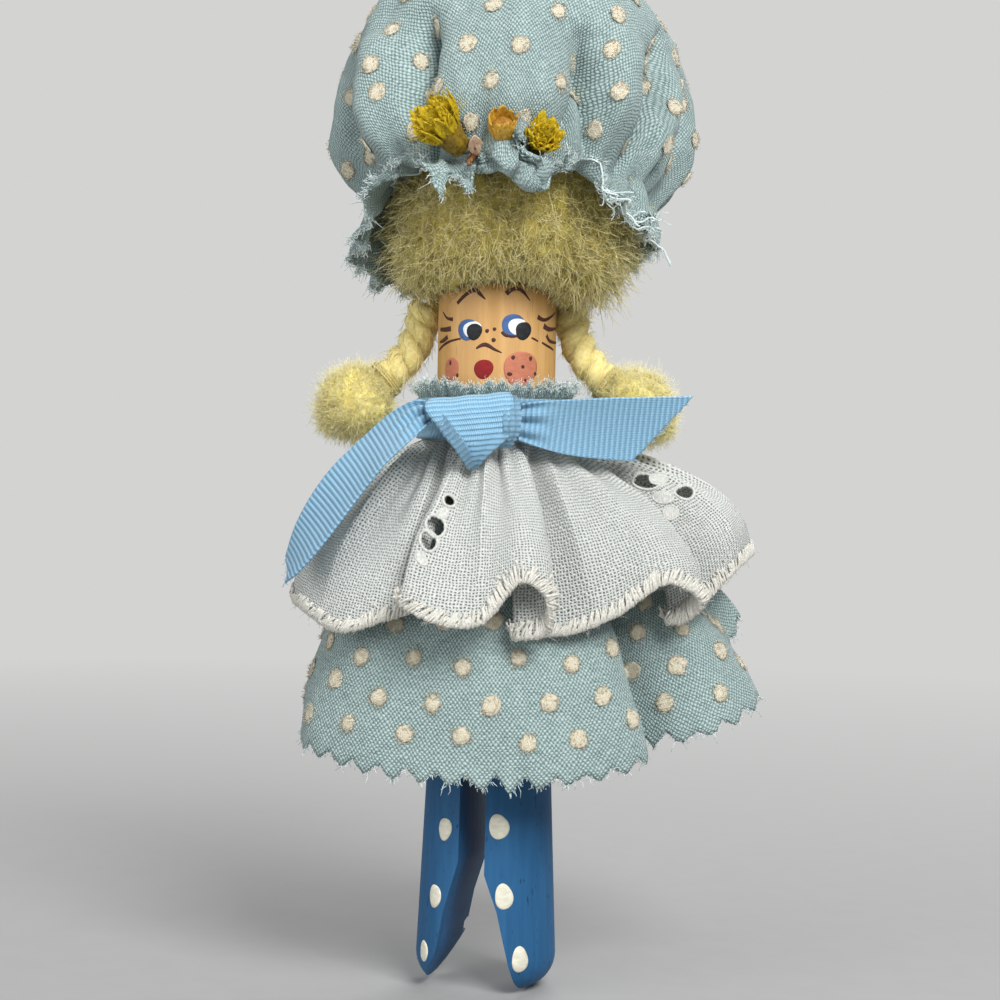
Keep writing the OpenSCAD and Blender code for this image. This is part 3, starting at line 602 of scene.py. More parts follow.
def pin_radius(z):
    splayed = FEET_R + (PIN_R - FEET_R) * (z - FOOT_ROUND) / (SPLAY_Z - FOOT_ROUND)
    tip = FEET_R - FOOT_ROUND + np.sqrt(np.maximum(0, FOOT_ROUND**2 - (FOOT_ROUND - z)**2))
    return np.where(z > SPLAY_Z, PIN_R, np.where(z < FOOT_ROUND, np.minimum(tip, splayed), splayed))


def on_pin(px, py):
    """Bearing and height of the point of the pin that a pixel shows."""
    way = RIGHT * (px - PICTURE / 2) + UP * (PICTURE / 2 - py)
    way = way / (PX * VIEW_DISTANCE) - BACK
    r = PIN_R
    for _ in range(4):
        a = way[0]**2 + way[1]**2
        b = EYE[0] * way[0] + EYE[1] * way[1]
        c = EYE[0]**2 + EYE[1]**2 - r**2
        t = (-b - math.sqrt(max(b * b - a * c, 0))) / a
        x, y, z = EYE + way * t
        r = float(pin_radius(z))
    return math.degrees(math.atan2(x, -y)), z


# Shapes: a shape is its points and a list of face arrays

def band(rows, count, closed=True):
    """Four-sided faces of rows of points, each row a ring if closed."""
    j, i = np.meshgrid(np.arange(rows - 1), np.arange(count if closed else count - 1), indexing="ij")
    k = (i + 1) % count
    corners = [j * count + i, j * count + k, (j + 1) * count + k, (j + 1) * count + i]
    return np.stack(corners, -1).reshape(-1, 4)


def skin(rings):
    """A closed skin over rings of points, with a face over each end."""
    rows, count = rings.shape[:2]
    first = np.arange(count)[None, ::-1]
    return rings.reshape(-1, 3), [band(rows, count), first, first[:, ::-1] + (rows - 1) * count]


def joined(shapes):
    points, faces, start = [], [], 0
    for p, f in shapes:
        points.append(p)
        faces += [a + start for a in f]
        start += len(p)
    return np.concatenate(points), faces


def frames(path, closed=False):
    """Unit vectors along, beside and above each point of a path, without a twist."""
    if closed:
        along = unit(np.roll(path, -1, 0) - np.roll(path, 1, 0))
    else:
        along = unit(np.gradient(path, axis=0))
    beside = np.zeros_like(path)
    start = np.cross(along[0], (0, 0, 1) if abs(along[0][2]) < 0.9 else (1, 0, 0))
    for i in range(len(path)):
        start = start - along[i] * (start @ along[i])
        start = start / np.linalg.norm(start)
        beside[i] = start
    return along, beside, np.cross(along, beside)


def tube(path, radius, sides=6, closed=False):
    path = np.asarray(path, float)
    radius = np.broadcast_to(radius, len(path))[:, None, None]
    _, beside, above = frames(path, closed)
    a = np.linspace(0, 360, sides, endpoint=False)[None, :, None]
    rings = path[:, None] + radius * (beside[:, None] * cosd(a) + above[:, None] * sind(a))
    if not closed:
        return skin(rings)
    rings = np.concatenate([rings, rings[:1]])
    return rings.reshape(-1, 3), [band(len(rings), sides)]


def fibres(starts, ways, lengths, width, curl, rng, stations=4, taper=0.35):
    """Thin three-sided hairs that leave points along their ways and wander. Also gives root 0 to tip 1."""
    n = len(starts)
    t = np.linspace(0, 1, stations)[None, :, None]
    lengths = np.broadcast_to(lengths, n)[:, None, None]
    bend = unit(rng.normal(size=(n, 1, 3)))
    sway = unit(rng.normal(size=(n, 1, 3)))
    phase = rng.uniform(0, HAIR_PHASES, size=(n, 1, 1))
    path = starts[:, None] + lengths * (unit(ways)[:, None] * t + curl * bend * t**2)
    swing = np.sin(phase + HAIR_WAVES * t) - np.sin(phase)
    path = path + lengths * curl * HAIR_SWAY * sway * swing
    along = unit(np.gradient(path, axis=1))
    beside = unit(np.cross(along, unit(rng.normal(size=(n, 1, 3)))))
    above = np.cross(along, beside)
    a = np.array([0, 120, 240])[None, None, :, None]
    thick = np.broadcast_to(width, n)[:, None, None] / 2 * (1 - (1 - taper) * t)
    corner = beside[:, :, None] * cosd(a) + above[:, :, None] * sind(a)
    rings = path[:, :, None] + thick[:, :, None] * corner
    base = np.arange(n)[:, None] * stations * 3
    quads = (base[:, :, None] + band(stations, 3)[None]).reshape(-1, 4)
    ends = np.concatenate([base + [[2, 1, 0]], base + (stations - 1) * 3 + [[0, 1, 2]]])
    tip = np.broadcast_to(t[:, :, None], (n, stations, 3, 1)).reshape(-1)
    return (rings.reshape(-1, 3), [quads, ends]), tip


def select_only(obj):
    bpy.ops.object.select_all(action="DESELECT")
    obj.select_set(True)
    bpy.context.view_layer.objects.active = obj


def modify(obj, kind, **settings):
    select_only(obj)
    modifier = obj.modifiers.new(kind.title(), kind)
    for key, value in settings.items():
        setattr(modifier, key, value)
    bpy.ops.object.modifier_apply(modifier=modifier.name)


def edit_all(obj, *steps):
    """Runs mesh operators, each with its settings, on everything in an object."""
    select_only(obj)
    bpy.ops.object.mode_set(mode="EDIT")
    for step, settings in steps:
        bpy.ops.mesh.select_all(action="SELECT")
        step(**settings)
    bpy.ops.object.mode_set(mode="OBJECT")


def new_object(name, shape, tip=None):
    points, faces = shape
    mesh = bpy.data.meshes.new(name)
    mesh.from_pydata((np.asarray(points) * MM).tolist(), [], [f for a in faces for f in a.tolist()])
    mesh.polygons.foreach_set("use_smooth", [True] * len(mesh.polygons))
    if tip is not None:
        mesh.attributes.new("tip", "FLOAT", "POINT").data.foreach_set("value", tip.astype(np.float32))
    obj = bpy.data.objects.new(name, mesh)
    bpy.context.scene.collection.objects.link(obj)
    return obj


def dress_up(obj, finish, body="doll", replaces=()):
    """Gives a piece its finish, its body and the solids that it stands for."""
    if finish is not None:
        obj.data.materials.clear()
        obj.data.materials.append(finish)
    if body is not None:
        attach(obj, body)
    if replaces:
        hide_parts(*replaces)
    return obj


def piece(name, shape, finish, body="doll", replaces=(), tip=None):
    """A new piece of a shape; tip is how far along its hair each point lies."""
    return dress_up(new_object(name, shape, tip), finish, body, replaces)


def cloth(name, grid, flat, thickness, closed=True, keep=None):
    """A sheet of given thickness on a grid of points, with its flat place in millimetres as its UV map."""
    rows, columns = grid.shape[:2]
    faces = band(rows, columns, closed)
    turns = columns if closed else columns - 1
    j, i = np.meshgrid(np.arange(rows - 1), np.arange(turns), indexing="ij")
    corners = np.stack([flat[j, i], flat[j, i + 1], flat[j + 1, i + 1], flat[j + 1, i]], 2).reshape(-1, 4, 2)
    if keep is not None:
        faces, corners = faces[keep], corners[keep]
    obj = new_object(name, (grid.reshape(-1, 3), [faces]))
    obj.data.uv_layers.new(name="flat").data.foreach_set("uv", corners.reshape(-1))
    modify(obj, "SOLIDIFY", thickness=thickness * MM, offset=0)
    edit_all(obj, (bpy.ops.mesh.delete_loose, {}))
    return obj


def grid_normals(grid, closed=True):
    if closed:
        across = np.roll(grid, -1, 1) - np.roll(grid, 1, 1)
    else:
        across = np.gradient(grid, axis=1)
    return unit(np.cross(across, np.gradient(grid, axis=0)))


# Finishes

def colour(code):
    """Linear colour of an sRGB hex value."""
    parts = [int(code[k:k + 2], 16) / 255 for k in (1, 3, 5)]
    return tuple(c / 12.92 if c <= 0.04045 else ((c + 0.055) / 1.055)**2.4 for c in parts) + (1,)


def add(tree, kind, inputs=(), out=0, **settings):
    """Adds a node with its settings and links, and gives an output; inputs are values, hexes or outputs."""
    node = tree.nodes.new("ShaderNode" + kind)
    for key, value in settings.items():
        setattr(node, key, value)
    for key, value in dict(inputs).items():
        if isinstance(value, bpy.types.NodeSocket):
            tree.links.new(value, node.inputs[key])
        else:
            node.inputs[key].default_value = colour(value) if isinstance(value, str) else value
    return node.outputs[out] if len(node.outputs) else None


def new_finish(name):
    material = bpy.data.materials.new(name)
    material.use_nodes = True
    material.node_tree.nodes.clear()
    return material, material.node_tree


def surface(tree, base, relief, depth, **sockets):
    """Ends a finish with its colour, its relief of a depth in millimetres, and other sockets by name."""
    normal = add(tree, "Bump", {"Height": relief, "Distance": depth * MM})
    named = {key.replace("_", " "): value for key, value in sockets.items()}
    shader = add(tree, "BsdfPrincipled", {"Base Color": base, "Normal": normal, **named})
    add(tree, "OutputMaterial", {"Surface": shader})


def speckle(tree, size, stretch=(1, 1, 1), detail=2.0, on="Object"):
    """Noise with lumps of a size in millimetres, drawn out along the axes."""
    unit_size = MM if on == "Object" else 1
    scale = [1 / (size * unit_size * s) for s in stretch]
    place = add(tree, "Mapping", {"Vector": add(tree, "TexCoord", out=on), "Scale": scale})
    return add(tree, "TexNoise", {"Vector": place, "Scale": 1.0, "Detail": detail})


def waves(tree, place, *half_waves):
    """Waves from -1 to 1 along the axes of a flat place, by half their lengths in millimetres."""
    found = []
    for axis, half in zip("XY", half_waves):
        along = add(tree, "SeparateXYZ", {0: place}, axis)
        turn = add(tree, "Math", {0: along, 1: math.pi / half}, operation="MULTIPLY")
        found.append(add(tree, "Math", {0: turn}, operation="SINE"))
    return found


def threads(tree, warp, weft):
    """Height of uneven warp and weft over a sheet's flat map, and which of them lies over at a crossing."""
    flat = add(tree, "TexCoord", out="UV")
    drift = add(tree, "TexNoise", {"Vector": flat, "Scale": 0.7, "Detail": 3.0}, 1)
    uneven = add(tree, "VectorMath", {0: drift, 1: (0.7, 0.7, 0), 2: flat}, operation="MULTIPLY_ADD")
    across, along = waves(tree, uneven, warp, weft)
    crossing = add(tree, "Math", {0: across, 1: along}, operation="MULTIPLY")
    heights = [add(tree, "Math", {0: wave}, operation="ABSOLUTE") for wave in (across, along)]
    return add(tree, "Math", dict(enumerate(heights)), operation="MAXIMUM"), crossing


def dotted_cotton():
    """Plain-weave cotton dyed aqua: matt, with pale crossings of its threads, slubs and faded patches."""
    material, tree = new_finish("aqua plain-weave cotton")
    thread, crossing = threads(tree, COTTON_WARP, COTTON_WEFT)
    over = add(tree, "MapRange", {0: crossing, 1: -0.75, 2: 0.75, 3: -0.6, 4: 0.4})
    slub = speckle(tree, 0.5, (4, 0.5, 1), on="UV")
    tone = add(tree, "Math", {0: slub, 1: 1.2, 2: over}, operation="MULTIPLY_ADD")
    deep = add(tree, "Mix", {0: tone, 6: "#5b7573", 7: "#b3c6c5"}, 2, data_type="RGBA")
    faded = add(tree, "Mix", {0: tone, 6: "#637e7c", 7: "#bccecc"}, 2, data_type="RGBA")
    patch = add(tree, "MapRange", {0: speckle(tree, 7), 1: 0.35, 2: 0.7})
    shown = add(tree, "Mix", {0: patch, 6: deep, 7: faded}, 2, data_type="RGBA")
    relief = add(tree, "Math", {0: thread, 1: over}, operation="ADD")
    surface(tree, shown, relief, 0.1, Roughness=0.85, Sheen_Weight=0.15)
    return material


def eyelet_cotton():
    """Open-weave white cotton: single round threads, and gaps between them painted grey as shade."""
    material, tree = new_finish("white open-weave cotton")
    thread, crossing = threads(tree, LACE_WARP, LACE_WEFT)
    slub = speckle(tree, 0.5, (1, 3, 1), on="UV")
    gap = add(tree, "Math", {0: slub, 1: 0.5, 2: thread}, operation="MULTIPLY_ADD")
    filled = add(tree, "MapRange", {0: gap, 1: 0.67, 2: 1.11})
    # Painted shade: the gaps take a dark grey-green, the shade of the cloth behind, in place of open holes.
    shown = add(tree, "Mix", {0: filled, 6: "#666d69", 7: "#d0d2ce"}, 2, data_type="RGBA")
    over = add(tree, "MapRange", {0: crossing, 1: -0.8, 2: 0.8, 3: 0, 4: 0.5})
    relief = add(tree, "Math", {0: thread, 1: over}, operation="ADD")
    surface(tree, shown, relief, 0.2, Roughness=0.8, Sheen_Weight=0.1, Subsurface_Weight=0.5,
            Subsurface_Radius=(1, 1, 1), Subsurface_Scale=0.8 * MM)
    return material


def grosgrain():
    """Ribbed polyester ribbon: fine lengthwise threads over the ribs, a silky gleam, and painted shade in the
    grooves.
    """
    material, tree = new_finish("light blue grosgrain")
    thread, rib = waves(tree, add(tree, "TexCoord", out="UV"), RIBBON_THREAD / 2, RIB / 2)
    shade = speckle(tree, 0.6, (0.4, 1, 1), on="UV")
    tone = add(tree, "Math", {0: shade, 1: 0.8}, operation="MULTIPLY")
    # Painted light and shade: crests of ribs and threads lighter, grooves darker.
    for wave, share in ((rib, 0.5), (thread, 0.2)):
        tone = add(tree, "Math", {0: wave, 1: share, 2: tone}, operation="MULTIPLY_ADD")
    pale = add(tree, "MapRange", {0: tone, 1: -0.3, 2: 1.0})
    shown = add(tree, "Mix", {0: pale, 6: "#6799bb", 7: "#94c1db"}, 2, data_type="RGBA")
    relief = add(tree, "Math", {0: thread, 1: 0.4, 2: rib}, operation="MULTIPLY_ADD")
    surface(tree, shown, relief, 0.06, Roughness=0.5, Sheen_Weight=0.2)
    return material


def fluff(name, root, middle, tip_code):
    """Loose wool: each hair is painted darker toward its root, as shade deep in the pile, and locks differ in
    tone.
    """
    material, tree = new_finish(name)
    # Painted shade: hair darkens toward its root, where the pile shades it.
    tip = add(tree, "MapRange", {0: add(tree, "Attribute", out="Fac", attribute_name="tip"), 1: 0, 2: 0.7})
    lock = add(tree, "MapRange", {0: speckle(tree, 2.2), 1: 0.35, 2: 0.65})
    outer = add(tree, "Mix", {0: lock, 6: middle, 7: tip_code}, 2, data_type="RGBA")
    hair = add(tree, "Mix", {0: tip, 6: root, 7: outer}, 2, data_type="RGBA")
    surface(tree, hair, speckle(tree, 0.25, detail=3), 0.05, Roughness=0.8, Sheen_Weight=0.35,
            Subsurface_Weight=0.35, Subsurface_Radius=(1, 0.9, 0.6), Subsurface_Scale=MM)
    return material


def birch():
    """Sanded birch: pale, with fine upright grain, pores and a slight lathe polish."""
    material, tree = new_finish("sanded birch")
    figure = add(tree, "MapRange", {0: speckle(tree, 1.5, (1, 1, 14), 3), 1: 0.3, 2: 0.7})
    pores = speckle(tree, 0.22, (1, 1, 16), 1)
    base = add(tree, "Mix", {0: figure, 6: "#bd9054", 7: "#d0a367"}, 2, data_type="RGBA")
    lines = add(tree, "MapRange", {0: pores, 1: 0.64, 2: 0.8})
    shown = add(tree, "Mix", {0: lines, 6: base, 7: "#b08450"}, 2, data_type="RGBA")
    surface(tree, shown, pores, 0.03, Roughness=0.5)
    return material


def leg_paint():
    """Brushed satin craft paint on wood: upright brush marks, and pores that the paint left dark."""
    material, tree = new_finish("satin blue craft paint")
    brush = speckle(tree, 0.8, (1, 1, 12), 3)
    pores = speckle(tree, 0.35, (1, 1, 3.5), 0)
    marks = add(tree, "MapRange", {0: brush, 1: 0.3, 2: 0.7})
    base = add(tree, "Mix", {0: marks, 6: "#1f5581", 7: "#285f8b"}, 2, data_type="RGBA")
    flecks = add(tree, "MapRange", {0: pores, 1: 0.76, 2: 0.82})
    shown = add(tree, "Mix", {0: flecks, 6: base, 7: "#173a5c"}, 2, data_type="RGBA")
    relief = add(tree, "Math", {0: brush, 1: pores}, operation="SUBTRACT")
    surface(tree, shown, relief, 0.04, Roughness=0.6, Specular_IOR_Level=0.3)
    return material


def streaked(name, dark, pale, size, stretch, detail, depth, **sockets):
    """Streaks of two tones, which also stand in relief."""
    material, tree = new_finish(name)
    streak = speckle(tree, size, stretch, detail)
    tone = add(tree, "MapRange", {0: streak, 1: 0.3, 2: 0.7})
    shown = add(tree, "Mix", {0: tone, 6: dark, 7: pale}, 2, data_type="RGBA")
    surface(tree, shown, streak, depth, **sockets)
    return material


def yarn(name, dark, pale, size, stretch=(1, 1, 1)):
    """Spun thread: matt, streaked along its fibres."""
    return streaked(name, dark, pale, size, stretch, 3, 0.08, Roughness=0.85, Sheen_Weight=0.3)


def craft_paint(name, dark, pale):
    """A brushed dab of acrylic craft paint: nearly even, with a soft satin shine."""
    return streaked(name, dark, pale, 0.5, (2, 2, 1), 2, 0.03, Roughness=0.6, Specular_IOR_Level=0.3)


def dried(name, dark, pale, size, stretch=(1, 1, 1), rough_share=0.7):
    """Dried plant: papery, streaked and unevenly faded."""
    return streaked(name, dark, pale, size, stretch, 4, 0.06, Roughness=rough_share)


COTTON = dotted_cotton()
# Short cream fibres stuck on the cotton: velvety, and ragged at the rim
FLOCK = streaked("cream flock", "#c6bda1", "#ebe2cc", 0.16, (1, 1, 1), 4, 0.25,
                 Roughness=0.95, Sheen_Weight=0.4)
EYELET = eyelet_cotton()
EDGE_THREAD = yarn("cream embroidery cotton", "#bcb9ad", "#e6e4dc", 0.22)
SATIN = yarn("white satin stitch", "#b4b5af", "#dcddd7", 0.2, (1, 1, 3))
LINT = yarn("frayed cotton threads", "#b4cbc9", "#eef6f4", 0.5)
GROSGRAIN = grosgrain()
RIBBON_LINT = yarn("frayed ribbon threads", "#7eb2d3", "#b7dbee", 0.5)
FLEECE = fluff("olive wool fleece", "#baaa4e", "#d4c468", "#eee094")
ROVING = fluff("pale yellow wool roving", "#f2e27c", "#f6e88e", "#faf0ac")
STRAND = yarn("twisted wool roving", "#dcc878", "#f4e5a2", 0.5)
SEWING = yarn("white sewing thread", "#b8cfcc", "#eef5f3", 0.2)
TIE = yarn("yellow tie thread", "#a8954e", "#e0cf88", 0.2)
FILL = fluff("polyester fibre fill", "#cfcfcc", "#e6e6e4", "#f4f4f2")
BIRCH = birch()
LEG_BLUE = leg_paint()
DOT_CREAM = craft_paint("cream craft paint", "#d3d0bd", "#e7e4d2")
EYE_BLUE = craft_paint("eye blue craft paint", "#3a5b8e", "#46699e")
EYE_WHITE = craft_paint("white craft paint", "#dfe2e2", "#f3f5f5")
PUPIL = craft_paint("black craft paint", "#17181a", "#26282b")
BROWN = craft_paint("dark brown craft paint", "#3a211a", "#54322a")
RED = craft_paint("red craft paint", "#7c1419", "#901a1f")
SALMON = craft_paint("salmon craft paint", "#b46c52", "#c17a60")
YELLOW_DRY = dried("dried yellow florets", "#957800", "#dcc000", 0.3)
OLIVE_DRY = dried("dried olive calyx", "#5c4408", "#9a7d12", 0.5)
PAPER_DRY = dried("dried papery petals", "#9a6a0c", "#dcb040", 0.4, (1, 1, 3), 0.45)
PINK_DRY = dried("dried pink petal", "#dba984", "#f6dfc4", 0.4, (1, 1, 3), 0.5)
HEART_DRY = dried("dried brown heart", "#7a4f10", "#b4802c", 0.4)
STEM_DRY = dried("dried brown stem", "#4f2f12", "#a9713a", 0.25, (1, 1, 4))


# Camera, floor and light

def camera():
    cam = bpy.data.objects.new("camera", bpy.data.cameras.new("camera"))
    bpy.context.scene.collection.objects.link(cam)
    cam.data.sensor_width = SENSOR
    cam.data.lens = SENSOR * VIEW_DISTANCE / VIEW_WIDTH
    cam.data.clip_start = 10 * MM
    columns = np.stack([RIGHT, UP, BACK, EYE * MM], -1)
    cam.matrix_world = Matrix([*columns.tolist(), (0, 0, 0, 1)])
    bpy.context.scene.camera = cam
    bpy.context.scene.view_settings.view_transform = "Standard"


def studio():
    """A round floor, painted darker grey near the doll as shade, that fades into the backdrop, which only the
    camera sees, and lamps.
    """
    around = np.linspace(0, 360, FLOOR_SIDES, endpoint=False)
    rings = bearing_point(around[None], np.array(FLOOR_RINGS, float)[:, None], -FLOOR_DROP)
    faces = [band(len(rings), FLOOR_SIDES)[:, ::-1], np.arange(FLOOR_SIDES)[None]]
    floor = new_object("floor", (rings.reshape(-1, 3), faces))
    paper, tree = new_finish("studio paper with painted shade")
    # Painted shade: near the doll the floor is a darker grey than the backdrop.
    grain = add(tree, "Mix", {0: speckle(tree, 6, detail=3), 6: "#989897", 7: "#9e9e9d"}, 2, data_type="RGBA")
    sheet = add(tree, "BsdfPrincipled", {"Base Color": grain, "Roughness": 0.9})
    place = add(tree, "TexCoord", out="Object")
    far = add(tree, "VectorMath", {0: place}, "Value", operation="LENGTH")
    fade = add(tree, "MapRange", {0: far, 1: FLOOR_FADE[0] * MM, 2: FLOOR_FADE[1] * MM})
    seen = add(tree, "LightPath", out="Is Camera Ray")
    shown = add(tree, "Math", {0: fade, 1: seen}, operation="MULTIPLY")
    glow = add(tree, "Emission", {"Color": BACKDROP})
    add(tree, "OutputMaterial", {"Surface": add(tree, "MixShader", {0: shown, 1: sheet, 2: glow})})
    floor.data.materials.append(paper)

    world = bpy.data.worlds.new("studio")
    world.use_nodes = True
    tree = world.node_tree
    seen = add(tree, "LightPath", out="Is Camera Ray")
    sky = add(tree, "Mix", {0: seen, 6: "#868889", 7: BACKDROP}, 2, data_type="RGBA")
    tree.links.new(sky, tree.nodes["Background"].inputs["Color"])
    bpy.context.scene.world = world
    for name, (place, size, power) in LAMPS.items():
        lamp = bpy.data.lights.new(name, "AREA")
        lamp.size = size * MM
        lamp.energy = power
        obj = bpy.data.objects.new(name, lamp)
        bpy.context.scene.collection.objects.link(obj)
        obj.location = Vector(place) * MM
        obj.rotation_euler = (Vector(LAMP_AIM) - Vector(place)).to_track_quat("-Z", "Y").to_euler()


camera()
studio()


# Clothespin

def arc(first, last, steps=10):
    return np.linspace(first, last, steps + 1)


def prism(name, outline, depth):
    """A block with an upright outline that runs through the pin from front to back."""
    face = np.array([(x, -depth, z) for x, z in outline], float)
    obj = new_object(name, (face, [np.arange(len(face))[None]]))
    through = {"TRANSFORM_OT_translate": {"value": (0, 2 * depth * MM, 0)}}
    edit_all(obj, (bpy.ops.mesh.extrude_region_move, through), (bpy.ops.mesh.normals_make_consistent, {}))
    return obj


def cut(obj, cutter):
    modify(obj, "BOOLEAN", operation="DIFFERENCE", object=cutter, solver="EXACT")
    bpy.data.objects.remove(cutter)


def rounded(centre_r, centre_z, radius, first, last):
    """Radius and height of points round a corner of the pin's profile."""
    return [(centre_r + radius * cosd(a), centre_z + radius * sind(a)) for a in arc(first, last)]


def clothespin():
    """Turned on a lathe, slotted with a saw, chipped on one leg, with worn edges."""
    foot = rounded(FEET_R - FOOT_ROUND, FOOT_ROUND, FOOT_ROUND, -90, 0)
    head = rounded(PIN_R - HEAD_RIM, PIN_LEN - HEAD_RIM, HEAD_RIM, 0, 90)
    profile = [(0, 0), *foot, (PIN_R, SPLAY_Z), (PIN_R, PAINT_TOP), *head, (0, PIN_LEN)]
    mesh = bpy.data.meshes.new("clothespin_turned")
    edges = [(i, i + 1) for i in range(len(profile) - 1)]
    mesh.from_pydata([(r * MM, 0, z * MM) for r, z in profile], edges, [])
    obj = bpy.data.objects.new("clothespin_turned", mesh)
    bpy.context.scene.collection.objects.link(obj)
    lathe = {"steps": PIN_SIDES, "angle": 2 * math.pi, "center": (0, 0, 0), "axis": (0, 0, 1)}
    edit_all(obj, (bpy.ops.mesh.spin, lathe), (bpy.ops.mesh.remove_doubles, {"threshold": SAME_POINT * MM}),
             (bpy.ops.mesh.normals_make_consistent, {}))
    root = [(SLOT_HALF * cosd(a), SLOT_ROOT + SLOT_HALF * sind(a)) for a in arc(0, 180, 16)]
    below = [(-MOUTH_LEFT[-1][0], -SLOT_BELOW), (MOUTH_RIGHT[-1][0], -SLOT_BELOW)]
    left = [(-x, z) for x, z in MOUTH_LEFT]
    cut(obj, prism("slot", [*below, *MOUTH_RIGHT[::-1], *root, *left], SLOT_REACH))
    modify(obj, "BEVEL", width=EDGE_WEAR * MM, segments=EDGE_STEPS, limit_method="ANGLE",
           angle_limit=math.radians(WORN_ANGLE))
    x, z, size = CHIP
    edge_y = math.sqrt(float(pin_radius(z))**2 - x**2)
    bpy.ops.mesh.primitive_cube_add(size=size * MM, location=(x * MM, edge_y * MM, z * MM))
    chip = bpy.context.object
    chip.rotation_euler = CHIP_TURN
    chip.scale = (1, CHIP_LONG, 1)
    cut(obj, chip)
    select_only(obj)
    bpy.ops.object.shade_smooth_by_angle(angle=math.radians(SMOOTH_ANGLE))
    obj.data.materials.append(BIRCH)
    obj.data.materials.append(LEG_BLUE)
    for face in obj.data.polygons:
        face.material_index = int(face.center.z < PAINT_TOP * MM)
    dress_up(obj, None, replaces=["clothespin"])


def draped(bearings, heights, lifts):
    return bearing_point(bearings, pin_radius(heights) + lifts, heights)


def dab(px, py, half_w, half_h, lift, seed=0.0, ragged=DAB_RAGGED):
    """A dab of paint on the pin, by its pixel and its half sizes in pixels."""
    return dab_at(*on_pin(px, py), half_w / PX, half_h / PX, lift, seed, ragged)


def dab_at(bearing, z, half_w, half_h, lift, seed, ragged):
    a = np.linspace(0, 360, DAB_SIDES, endpoint=False)
    wobble = 1 + ragged * (np.sin(np.radians(a) * 2 + seed * 7) + np.sin(np.radians(a) * 3 + seed * 13))
    rings = []
    for share, height in DAB_PROFILE:
        across = half_w * share * wobble * cosd(a)
        b = bearing + np.degrees(across / float(pin_radius(z)))
        rings.append(draped(b, z + half_h * share * wobble * sind(a), lift * height))
    return skin(np.array(rings))


def stroke(places, widths):
    """A brush stroke on the pin along pixels, with its width in pixels at each of them."""
    share = np.linspace(0, 1, STROKE_STEPS)
    line = open_at(np.array([on_pin(*p) for p in places]), share)
    half = np.interp(share, np.linspace(0, 1, len(widths)), widths) / PX / 2
    flat = np.stack([np.radians(line[:, 0]) * PIN_R, line[:, 1]], -1)
    way = unit(np.gradient(flat, axis=0))
    side = np.stack([way[:, 1], -way[:, 0]], -1)
    rings = []
    for i in range(STROKE_STEPS):
        ring = []
        for across, height in STROKE_PROFILE:
            u, v = flat[i] + side[i] * half[i] * across
            ring.append(draped(np.degrees(u / PIN_R), np.array(v), STROKE_LIFT * height))
        rings.append(ring)
    return skin(np.array(rings))


def painted_face():
    layers = [
        ("cheeks", CHEEKS, SALMON, 0.03), ("mouth", MOUTH, RED, 0.06),
        ("eye_blues", EYE_BLUES, EYE_BLUE, 0.05), ("eye_whites", EYE_WHITES, EYE_WHITE, 0.08),
        ("pupils", PUPILS, PUPIL, 0.12), ("nose_dots", NOSE, BROWN, 0.06),
        ("freckles", FRECKLES, BROWN, 0.08),
    ]
    for name, dabs, paint, lift in layers:
        piece(name, joined([dab(*d, lift, i) for i, d in enumerate(dabs)]), paint)
    piece("brows_lashes_and_lip", joined([stroke(*s) for s in BROWN_STROKES]), BROWN)
    dots = [dab(*d, LEG_DOT_LIFT, i, LEG_DOT_RAGGED) for i, d in enumerate(LEG_DOTS)]
    dots += [dab_at(b, z, *BACK_DOT_SIZE, LEG_DOT_LIFT, b + z, LEG_DOT_RAGGED) for b, z in BACK_DOTS]
    piece("leg_dots", joined(dots), DOT_CREAM)


clothespin()
painted_face()


# Hung cloth

def hem_points(rows, half_w, half_d, z, length):
    return np.stack([rows[:, 1] * half_w, -rows[:, 2] * half_d, z + rows[:, 3] * length], -1)


def even_columns(table, count, *size):
    """Rows of a hem table at even steps along the hem, with their points and their distances along it."""
    u = np.linspace(0, len(table), HEM_FINE)
    run = run_along(hem_points(lap_at(table, u), *size))
    steps = np.linspace(0, run[-1], count + 1)
    rows = lap_at(table, np.interp(steps[:-1], run, u))
    return rows, hem_points(rows, *size), steps


def hang(neck, hem, share, stand):
    """Points of columns of cloth between a neck ring and a hem, at shares of the fall for each column."""
    out = 1 - np.sign(1 - share) * np.abs(1 - share)**stand
    xy = neck[:, :2] + (hem - neck)[:, :2] * out[..., None]
    z = neck[:, 2] + (hem - neck)[:, 2] * share
    return np.concatenate([xy, z[..., None]], -1)


def flat_map(run, down):
    """Flat place of a closed cloth's points, by the run of its hem and the way down to the hem."""
    down = np.concatenate([down, down[:, :1]], 1)
    return np.stack([np.broadcast_to(run, down.shape), -down], -1)


def zigzag(u):
    """A pinked edge from -1 to 1, one tooth to each unit."""
    return 1 - 4 * np.abs((u % 1) - 0.5)


